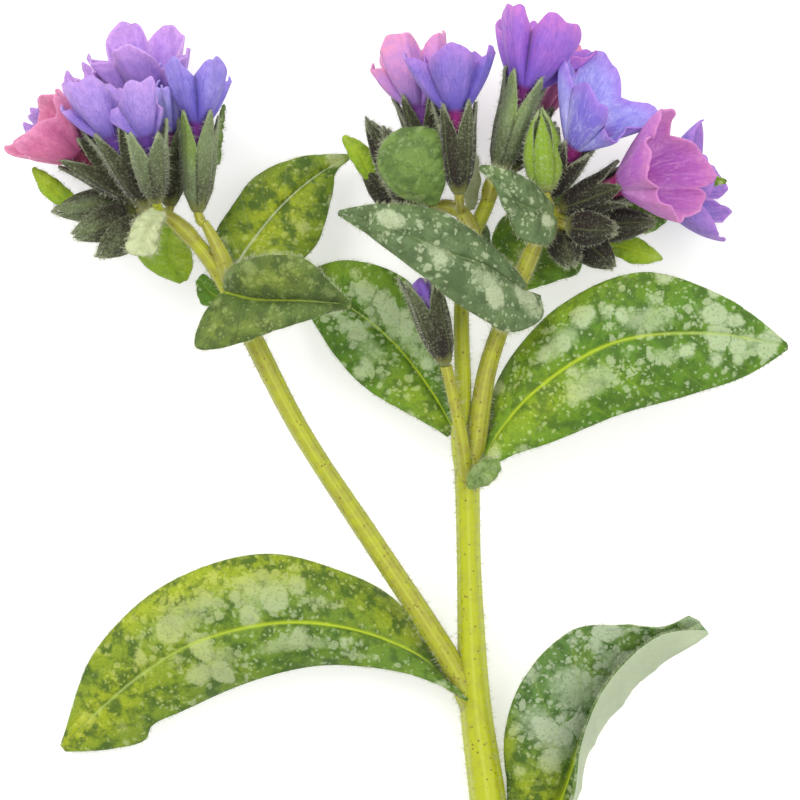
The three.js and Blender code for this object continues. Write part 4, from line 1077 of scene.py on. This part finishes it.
# Millimetres: tube, footGap, thickness, ruffle, curl, low and soft. Throat and foot are shares of the
# calyx's length, notch and keel shares of the lobe's reach, and tubePart the tube's share of the grid.
corollaShape = {"tube": 1.15, "throat": 0.84, "foot": 0.45, "footGap": 0.38, "notch": 0.76, "bulge": 0.3,
                "around": 130, "along": 34, "tubePart": 0.2, "thickness": 0.2, "ruffle": 0.34,
                "curl": (-0.1, 0.6), "lean": 0.18, "belly": 0.07, "keel": 0.08, "round": (3.0, 0.8),
                "ripple": 0.035, "low": 0.3, "soft": 0.5}


def axisFrame(root, tip):
    start = at(root)
    axis = unit(at(tip) - start)
    turn = Vector((0, 1, 0)).rotation_difference(Vector(axis)).to_matrix()
    return start, np.array(turn)


# A turned sheet: radius and height in millimetres for each angle, standing on root
def turnedSheet(name, root, tip, roll, around, along, profileAt):
    start, turn = axisFrame(root, tip)

    def pointsAt(across, length):
        angle = across * 2 * np.pi
        radius, height = profileAt(across, length)
        local = np.column_stack([radius * np.sin(angle + roll), height, radius * np.cos(angle + roll)])
        return start + local @ turn.T * millimetre

    return laidSheet(name, around, along, pointsAt, closed=True)


# Which of the five lobes a place around the corolla lies on, and where between its notches (-1 to 1)
def lobeAt(across):
    lobe = np.minimum((across * 5).astype(int), 4)
    return lobe, 2 * (across * 5 - lobe) - 1


# A tube that stands in the calyx, and a limb that runs from its throat out to five rounded lobes
def corollaPiece(name, flower, seed):
    rng = np.random.default_rng(seed)
    start, turn = axisFrame(flower["root"], flower["mouth"])
    right, axis, front = turn[:, 0], turn[:, 1], turn[:, 2]
    shape = {**corollaShape, **flower}
    tube = shape["tube"] * millimetre
    throat = start + axis * shape["calyx"] * shape["throat"] * millimetre
    foot = start + axis * (shape["calyx"] * shape["foot"] + shape["footGap"]) * millimetre
    tips = np.array([at(point) for point in shape["tips"]])
    # Each notch lies between two tips, drawn back towards the throat
    sizes = np.array(shape.get("sizes", (1, 1, 1, 1, 1)), dtype=float)
    between = tips + (np.roll(tips, 1, axis=0) - tips) * (sizes / (sizes + np.roll(sizes, 1)))[:, None]
    notches = throat + (between - throat) * np.reshape(shape["notch"], (-1, 1))
    middles = (notches + np.roll(notches, -1, axis=0)) / 2
    halves = (np.roll(notches, -1, axis=0) - notches) / 2
    toTip = tips[0] - throat
    roll = math.atan2(toTip @ right, toTip @ front)
    phase = rng.uniform(0, 2 * math.pi, 5)
    curl = rng.uniform(*shape["curl"], 5)
    lean = rng.uniform(-shape["lean"], shape["lean"], 5)
    power, blunt = shape["round"]

    def limbAt(along):
        return np.clip((along - shape["tubePart"]) / (1 - shape["tubePart"]), 0, 1)

    def pointsAt(across, along):
        lobe, s = lobeAt(across)
        inside = 1 - s ** 2
        ownPhase = phase[lobe]
        angle = roll + (across - 0.1) * 2 * np.pi
        outward = right * np.sin(angle)[:, None] + front * np.cos(angle)[:, None]
        flow = limbAt(along)
        limb = flow[:, None]
        tubePart = np.clip(along / shape["tubePart"], 0, 1)[:, None]
        base = foot + (throat - foot) * tubePart + outward * tube * (0.9 + 0.1 * tubePart)
        wide = (s * (1 + shape["bulge"] * inside) + lean[lobe] * inside)[:, None]
        ripple = 1 + shape["ripple"] * np.sin(s * 7 + ownPhase) * inside
        rounded = (np.clip(1 - np.abs(s) ** power, 0, 1) ** blunt * ripple)[:, None]
        edge = middles[lobe] + halves[lobe] * wide + (tips[lobe] - middles[lobe]) * rounded
        reach = np.linalg.norm(edge - base, axis=1)[:, None]
        keel = (shape["belly"] + shape["keel"] * inside)[:, None]
        bend = base + (edge - base) * 0.5 + outward * reach * keel
        point = base * (1 - limb) ** 2 + bend * 2 * limb * (1 - limb) + edge * limb ** 2
        away = unit(edge - base + outward * 0.5 * reach)
        off = unit(np.cross(away, unit(halves[lobe])))
        # Ruffles, from the widest wave to the finest, then the lobe's curl and a slow swell
        wave = np.sin(s * math.pi * 1.6 + ownPhase) * shape["ruffle"] * flow ** 3
        wave += (np.sin(s * 10.7 + ownPhase * 2) * 0.09 + np.sin(s * 23 + ownPhase) * 0.035) * flow ** 1.5
        wave += curl[lobe] * flow ** 5 * inside
        wave += 0.05 * np.sin(flow * 9 + ownPhase) * np.sin(s * 5 + ownPhase * 3) * flow
        return overTable(point + off * (wave * millimetre)[:, None], shape["low"], shape["soft"])

    piece = laidSheet(name + "Petals", shape["around"], shape["along"], pointsAt, closed=True)
    across, along = sheetPlaces(piece)
    lobe, s = lobeAt(across)
    storeValue(piece, "limb", limbAt(along))
    # How near each place is to a notch: the petal material paints shade into these creases
    storeValue(piece, "crease", np.abs(s))
    # A lobe's tint blends with its neighbour's towards the notch
    tints = np.array(flower["tints"])
    beside = np.where(s > 0, 1, -1)
    share = 0.5 * np.clip((np.abs(s) - 0.6) / 0.4, 0, 1)
    storeValue(piece, "tint", tints[lobe] * (1 - share) + tints[(lobe + beside) % 5] * share)
    for material in petalMaterials[flower["tone"]]:
        piece.data.materials.append(material)
    thicken(piece, shape["thickness"], 0.0, 1)
    settle(piece, [name])


# Calyx: hairy herb cup, dark brown to grey-green, each tooth its own shade; dull, with a pale fuzz
# at the teeth's margins, dark seams between them and a fine rib down each. Clouds are 3 mm, as cells
# in a metre, and the fuzz has a grain of 0.3 mm, coarser than the real one so that it shows.
calyxLook = {"dark": "#1e140d", "olive": "#3c3e26", "grey": "#76865c", "bright": "#7f9e22", "rib": "#6d7c48",
             "seam": "#1d1610", "fuzz": "#a9b192", "foot": "#7d8038", "clouds": 330, "grain": 3200}
# Radii and the wall are millimetres. Each tooth draws its own length, sway and shade from a range.
calyxShape = {"radius": 2.3, "budRadius": 2.1, "around": 70, "along": 23, "wall": 0.4, "keel": 0.08,
              "groove": 0.04, "teeth": (0.93, 1.03), "sway": (-0.06, 0.1), "shades": (-0.24, 0.3)}
# Notch is the height between the teeth, as a share of the length, and profile the radius at each of
# the levels, as shares too. Shut ones are the buds.
calyxForms = {
    "open": {"notch": 0.62, "blunt": 0.85, "levels": [0, 0.03, 0.2, 0.45, 0.7, 0.9, 1.0],
             "profile": [0.28, 0.4, 0.78, 0.98, 1.04, 1.16, 1.3]},
    "shut": {"notch": 0.8, "blunt": 0.55, "levels": [0, 0.03, 0.2, 0.42, 0.66, 0.85, 1.0],
             "profile": [0.28, 0.5, 0.92, 1.06, 0.86, 0.5, 0.1]},
}
calyxRoll = math.pi / 5
rimLines = {}


def calyxMaterial():
    material, tree, shader = newMaterial("calyxHairySkin")
    place = addNode(tree, "ShaderNodeTexCoord").outputs["Object"]
    shade, ridge, seam, margin, foot = (
        addNode(tree, "ShaderNodeAttribute", {"attribute_name": key}).outputs["Fac"]
        for key in ("shade", "ridge", "seam", "margin", "foot"))
    broad = addNode(tree, "ShaderNodeTexNoise", None,
                    {"Vector": place, "Scale": calyxLook["clouds"], "Detail": 3.0})
    fine = addNode(tree, "ShaderNodeTexNoise", None,
                   {"Vector": place, "Scale": calyxLook["grain"], "Detail": 3.0, "Roughness": 0.7})
    level = addNode(tree, "ShaderNodeMath", multiplyAdd, {0: fine, 1: 0.6, 2: shade})
    level = addNode(tree, "ShaderNodeMath", multiplyAdd, {0: broad, 1: 0.8, 2: level})
    level = addNode(tree, "ShaderNodeMath", {"operation": "MULTIPLY_ADD", "use_clamp": True},
                    {0: level, 1: 0.6, 2: -0.41})
    ramp = addNode(tree, "ShaderNodeValToRGB", None, {"Fac": level})
    dark, bright = ramp.color_ramp.elements
    dark.color = linearColor(calyxLook["dark"])
    bright.position = 0.97
    bright.color = linearColor(calyxLook["bright"])
    for spot, tone in ((0.27, "olive"), (0.62, "grey")):
        ramp.color_ramp.elements.new(spot).color = linearColor(calyxLook[tone])
    color = ramp.outputs["Color"]
    ridge = addNode(tree, "ShaderNodeMath", multiply, {0: ridge, 1: 0.3})
    seam = addNode(tree, "ShaderNodeMath", multiply, {0: seam, 1: 0.75})
    edge = addNode(tree, "ShaderNodeMath", multiplyAdd, {0: fine, 1: 0.6, 2: margin})
    edge = addNode(tree, "ShaderNodeMapRange", smooth,
                   {"Value": edge, "From Min": 0.9, "From Max": 1.5, "To Max": 0.65})
    downy = addNode(tree, "ShaderNodeMath", multiplyAdd, {0: shade, 1: 0.3, 2: 0.08})
    fuzz = addNode(tree, "ShaderNodeMapRange", smooth,
                   {"Value": fine, "From Min": 0.5, "From Max": 0.68, "To Max": downy})
    for amount, tone in ((ridge, "rib"), (seam, "seam"), (edge, "fuzz"), (foot, "foot"), (fuzz, "fuzz")):
        color = addNode(tree, "ShaderNodeMix", mixColors,
                        {"Factor": amount, "A": color, "B": calyxLook[tone]})
    bump = addNode(tree, "ShaderNodeBump", None, {"Height": fine, "Strength": 0.7, "Distance": 0.00012})
    setInputs(tree, shader, {"Base Color": color, "Normal": bump, "Roughness": 0.85,
                             "Specular IOR Level": 0.3, "Sheen Weight": 0.15})
    return material


calyxSkin = calyxMaterial()


# Which tooth a place around the calyx lies on, and how far it is from that tooth's middle (0 to 1)
def toothAt(across):
    tooth = np.round(across * 5).astype(int) % 5
    return tooth, np.abs((across * 5 + 0.5) % 1 - 0.5) * 2


def calyxPiece(name, root, tip, length, radius, form, shade, roll=calyxRoll, notch=None):
    shape = calyxForms[form]
    notch = notch or shape["notch"]
    rng = np.random.default_rng(sum(map(ord, name)))
    teeth, sway, shades = (rng.uniform(*calyxShape[key], 5) for key in ("teeth", "sway", "shades"))
    shades = shade + shades * min(1, 0.4 + abs(shade))

    def profileAt(across, along):
        tooth, aside = toothAt(across)
        top = length * (notch + (teeth[tooth] - notch) * (1 - aside) ** shape["blunt"])
        level = along * top
        whole = np.clip(level / length, 0, 1)
        profile = np.interp(whole, shape["levels"], np.array(shape["profile"]) * radius)
        free = np.clip((whole - notch * 0.9) / (1 - notch * 0.9), 0, 1)
        profile = profile * (1 + sway[tooth] * free)
        keel = 1 + calyxShape["keel"] * (np.cos(2 * np.pi * across * 5) - 0.4) * np.clip(whole * 3, 0, 1)
        keel -= calyxShape["groove"] * np.exp(-(aside / 0.1) ** 2) * np.clip(whole * 4, 0, 1)
        return profile * keel, level

    piece = turnedSheet(name, root, tip, roll, calyxShape["around"], calyxShape["along"], profileAt)
    across, along = sheetPlaces(piece)
    tooth, aside = toothAt(across)
    between = np.exp(-((1 - aside) / 0.16) ** 2) * np.clip((0.97 - along) * 8, 0, 1)
    groove = 0.5 * np.exp(-((aside - 0.5) / 0.07) ** 2) * (1 - along)
    values = {"ridge": np.exp(-(aside / 0.09) ** 2),
              "seam": (0.5 if shade > 1 else 1.0) * np.clip(between + groove, 0, 1),
              "shade": shades[tooth] + 0.6 * (along - 0.5),
              "margin": np.clip((along - 0.86) / 0.14, 0, 1),
              "foot": np.clip((0.16 - along) / 0.16, 0, 1)}
    for key, value in values.items():
        storeValue(piece, key, value)
    # The rim and the way out from it, for the bristles on the teeth
    rim = cornersOf(piece)[along > 0.999]
    start, turn = axisFrame(root, tip)
    axis = turn[:, 1]
    outward = unit((rim - start) - np.outer((rim - start) @ axis, axis))
    rimLines.setdefault(name.split("Calyx")[0], []).append((rim, unit(outward + axis * 0.5)))
    thicken(piece, calyxShape["wall"], -1.0)
    piece.data.materials.append(calyxSkin)
    return piece


# A head is its axis, and a pedicel and a calyx for each flower and bud. Pedicels that bear a
# brighter calyx are brighter too.
pedicelShape = {"radii": [0.66, 0.55, 0.58, 0.6], "sides": 14, "steps": 16, "bright": 0.2, "dull": 0.8}
axisShape = {"ends": (0.6, 0.5), "radii": (1.05, 0.85), "sides": 18, "steps": 32, "tone": 0.45}


def headPiece(side):
    spine = spines[side]
    stands = [(flower["root"], flower["mouth"], flower["calyx"], calyxShape["radius"], "open",
               flower["shade"], flower.get("roll", calyxRoll), None) for flower in flowers[side].values()]
    stands += [(bud["root"], bud["tip"], np.linalg.norm(at(bud["tip"]) - at(bud["root"])) / millimetre,
                bud.get("radius", calyxShape["budRadius"]), "shut", bud.get("shade", 0.1), 0,
                bud.get("notch")) for bud in buds[side]]
    parts = []
    for number, stand in enumerate(stands):
        parts.append(calyxPiece(f"{side}Calyx{number}", *stand))
        root, tip, shade = at(stand[0]), at(stand[1]), stand[5]
        foot = at(min(spine, key=lambda point: np.linalg.norm(at(point) - root)))
        onward = unit(tip - root) * millimetre
        bend = (foot + root) / 2 - onward * 0.5
        parts.append(stemTube(f"{side}Stalk{number}", [foot, bend, root, root + onward],
                              pedicelShape["radii"], pedicelShape["bright" if shade > 0.5 else "dull"],
                              pedicelShape["sides"], pedicelShape["steps"]))
    radii = [axisShape["ends"][0], *np.linspace(*axisShape["radii"], len(spine) - 2), axisShape["ends"][1]]
    parts.append(stemTube(f"{side}Axis", [at(point) for point in spine], radii, axisShape["tone"],
                          axisShape["sides"], axisShape["steps"]))
    head = joined(parts, side + "HeadCalyces")
    settle(head, ["head_" + side])
    return head


heads = {side: headPiece(side) for side in flowers}
print("calyces and buds are set:", len(heads))

firstSeed = 11
corollas = [item for group in flowers.values() for item in group.items()]
for number, (name, flower) in enumerate(corollas):
    corollaPiece(name, flower, firstSeed + number)
print("corollas are open:", len(corollas))

# The single bud in the fork: its petals are still rolled, with five folds
budFlower = {"root": (446, 364, 14.8), "mouth": (420, 279, 17), "calyx": 11.4, "radius": 2.2, "shade": 0.35,
             "levels": [0, 0.3, 0.75, 0.92, 1.0], "radii": [0.6, 1.15, 1.5, 1.1, 0.2],
             "folds": 0.14, "from": 4.6, "length": 6.4, "roll": 0.3, "around": 60, "along": 24, "tint": 0.2}
budCalyx = calyxPiece("budCalyx", budFlower["root"], budFlower["mouth"], budFlower["calyx"],
                      budFlower["radius"], "open", budFlower["shade"])
settle(budCalyx, ["bud_calyx"])


def budProfile(across, along):
    radius = np.interp(along, budFlower["levels"], budFlower["radii"])
    folded = 1 + budFlower["folds"] * np.cos(10 * np.pi * across)
    return radius * folded, budFlower["from"] + along * budFlower["length"]


budPetals = turnedSheet("budPetals", budFlower["root"], budFlower["mouth"], budFlower["roll"],
                        budFlower["around"], budFlower["along"], budProfile)
across, along = sheetPlaces(budPetals)
storeValue(budPetals, "limb", 0.3 + 0.5 * along)
# The rolled folds take the petal material's painted crease shade
storeValue(budPetals, "crease", np.abs(np.cos(10 * np.pi * across)))
storeValue(budPetals, "tint", np.full(len(along), budFlower["tint"]))
budPetals.data.materials.append(petalMaterials["magenta"][0])
settle(budPetals, ["bud_petals"])
print("single bud is set")

# Hairs: white bristles of real mesh, each a thin three-sided spike. Their colour is painted shade and
# painted green light on the white: the grey-green that living ones show between bright leaves and a pale
# table. Widths and lengths are millimetres, and the width is about twice that of living ones, so that they
# show.
hairLook = {"color": "#b6ba98", "width": 0.05, "sunk": 0.03, "above": 0.05, "lean": 0.4, "down": 0.86,
            "rimLean": 0.35, "rimScatter": 0.1}


def hairMaterial():
    material, tree, shader = newMaterial("hairWhite")
    # The white hair is painted grey-green: painted shade and green light from around it
    setInputs(tree, shader, {"Base Color": hairLook["color"], "Roughness": 0.5, "Subsurface Weight": 0.0})
    return material


hairSkin = hairMaterial()


def spikes(roots, directions, lengths):
    clear = (roots + directions * lengths[:, None])[:, 2] > hairLook["above"] * millimetre
    roots, directions, lengths = roots[clear], directions[clear], lengths[clear]
    helper = np.where(np.abs(directions[:, 2:3]) < 0.9, [[0, 0, 1.0]], [[1.0, 0, 0]])
    first = unit(np.cross(directions, helper))
    second = np.cross(directions, first)
    corners = []
    for angle in (0, 2 * math.pi / 3, 4 * math.pi / 3):
        aside = first * math.cos(angle) + second * math.sin(angle)
        corners.append(roots + aside * (hairLook["width"] / 2 * millimetre))
    corners.append(roots + directions * lengths[:, None])
    points = np.stack(corners, axis=1).reshape(-1, 3)
    base = np.arange(len(roots))[:, None] * 4
    faces = np.concatenate([base + [0, 1, 3], base + [1, 2, 3], base + [2, 0, 3]], axis=1).reshape(-1, 3)
    return points, faces


def hairPiece(name, batches):
    points = np.concatenate([batch[0] for batch in batches])
    starts = np.cumsum([0] + [len(batch[0]) for batch in batches])
    faces = np.concatenate([batch[1] + start for batch, start in zip(batches, starts)])
    mesh = bpy.data.meshes.new(name)
    mesh.from_pydata(points.tolist(), [], faces.tolist())
    piece = bpy.data.objects.new(name, mesh)
    bpy.context.collection.objects.link(piece)
    mesh.materials.append(hairSkin)
    settle(piece)
    print(name, "hairs:", len(faces) // 3)


# Bristles spread evenly over a piece. On top they are short, and the long ones stand at the sides.
def surfaceHairs(piece, count, shortest, longest, seed):
    rng = np.random.default_rng(seed)
    mesh = piece.data
    mesh.calc_loop_triangles()
    triangles = np.empty(len(mesh.loop_triangles) * 3, dtype=int)
    mesh.loop_triangles.foreach_get("vertices", triangles)
    corners = cornersOf(piece)[triangles.reshape(-1, 3)]
    a, b, c = (corners[:, i] for i in range(3))
    across = np.cross(b - a, c - a)
    area = np.linalg.norm(across, axis=1)
    chosen = rng.choice(len(area), count, p=area / area.sum())
    u = rng.random(count)
    v = rng.random(count)
    outside = u + v > 1
    u[outside] = 1 - u[outside]
    v[outside] = 1 - v[outside]
    roots = a[chosen] + (b - a)[chosen] * u[:, None] + (c - a)[chosen] * v[:, None]
    normal = unit(across[chosen])
    directions = unit(normal + rng.normal(0, hairLook["lean"], (count, 3)))
    facing = np.clip(normal[:, 2], 0, 1)
    lengths = rng.uniform(shortest, longest, count) * (1 - hairLook["down"] * facing) * millimetre
    return spikes(roots - directions * hairLook["sunk"] * millimetre, directions, lengths)


# Bristles along margins and rims: count on each line, pointing outward
def marginHairs(lines, count, shortest, longest, seed):
    rng = np.random.default_rng(seed)
    batches = []
    for rim, outward in lines:
        row = rng.integers(0, len(rim), count)
        scatter = rng.normal(0, hairLook["rimScatter"], (count, 3)) * millimetre
        directions = unit(outward[row] + rng.normal(0, hairLook["rimLean"], (count, 3)))
        lengths = rng.uniform(shortest, longest, count) * millimetre
        batches.append(spikes(rim[row] + scatter, directions, lengths))
    return batches


stemHairs = {"count": 13000, "lengths": (0.4, 1.3), "seed": 101}
hairPiece("hairsStem", [surfaceHairs(stem, stemHairs["count"], *stemHairs["lengths"], stemHairs["seed"])])
# For each head: which pieces bear how many hairs, with their seeds, and the seed of the rims' hairs
heads["bud"] = budCalyx
headHairs = {"hairsLeft": ([("left", 12500, 102), ("left_inner", 2700, 103)], 108),
             "hairsMiddle": ([("middle", 8500, 104), ("middle_top", 4300, 105)], 109),
             "hairsRight": ([("right", 10500, 106), ("bud", 1900, 107)], 110)}
headLengths = (0.3, 0.85)
rimHairs = {"count": 150, "lengths": (0.25, 0.6)}
for name, (shares, rimSeed) in headHairs.items():
    batches = [surfaceHairs(heads[side], count, *headLengths, seed) for side, count, seed in shares]
    rims = [line for side, _, _ in shares for line in rimLines[side]]
    hairPiece(name, batches + marginHairs(rims, rimHairs["count"], *rimHairs["lengths"], rimSeed))
# Leaves: how many hairs each millimetre of margin stands for, on itself and on the faces. The margins
# of grey leaves are downier.
leafHairs = {"margin": 8, "face": 16, "marginShortest": 0.25, "bright": 0.5, "downy": 0.95,
             "faceLengths": (0.08, 0.25), "marginSeed": 200, "faceSeed": 300}
batches = []
for number, (name, piece) in enumerate(leafPieces.items()):
    size = sum(np.linalg.norm(np.diff(rim, axis=0), axis=1).sum() for rim, _ in marginLines[name])
    longest = leafHairs["bright" if leaves[name]["look"] in brightLooks else "downy"]
    batches += marginHairs(marginLines[name], int(size / millimetre * leafHairs["margin"]),
                           leafHairs["marginShortest"], longest, leafHairs["marginSeed"] + number)
    batches.append(surfaceHairs(piece, int(size / millimetre * leafHairs["face"]),
                                *leafHairs["faceLengths"], leafHairs["faceSeed"] + number))
hairPiece("hairsLeaves", batches)
print("hairs are grown")
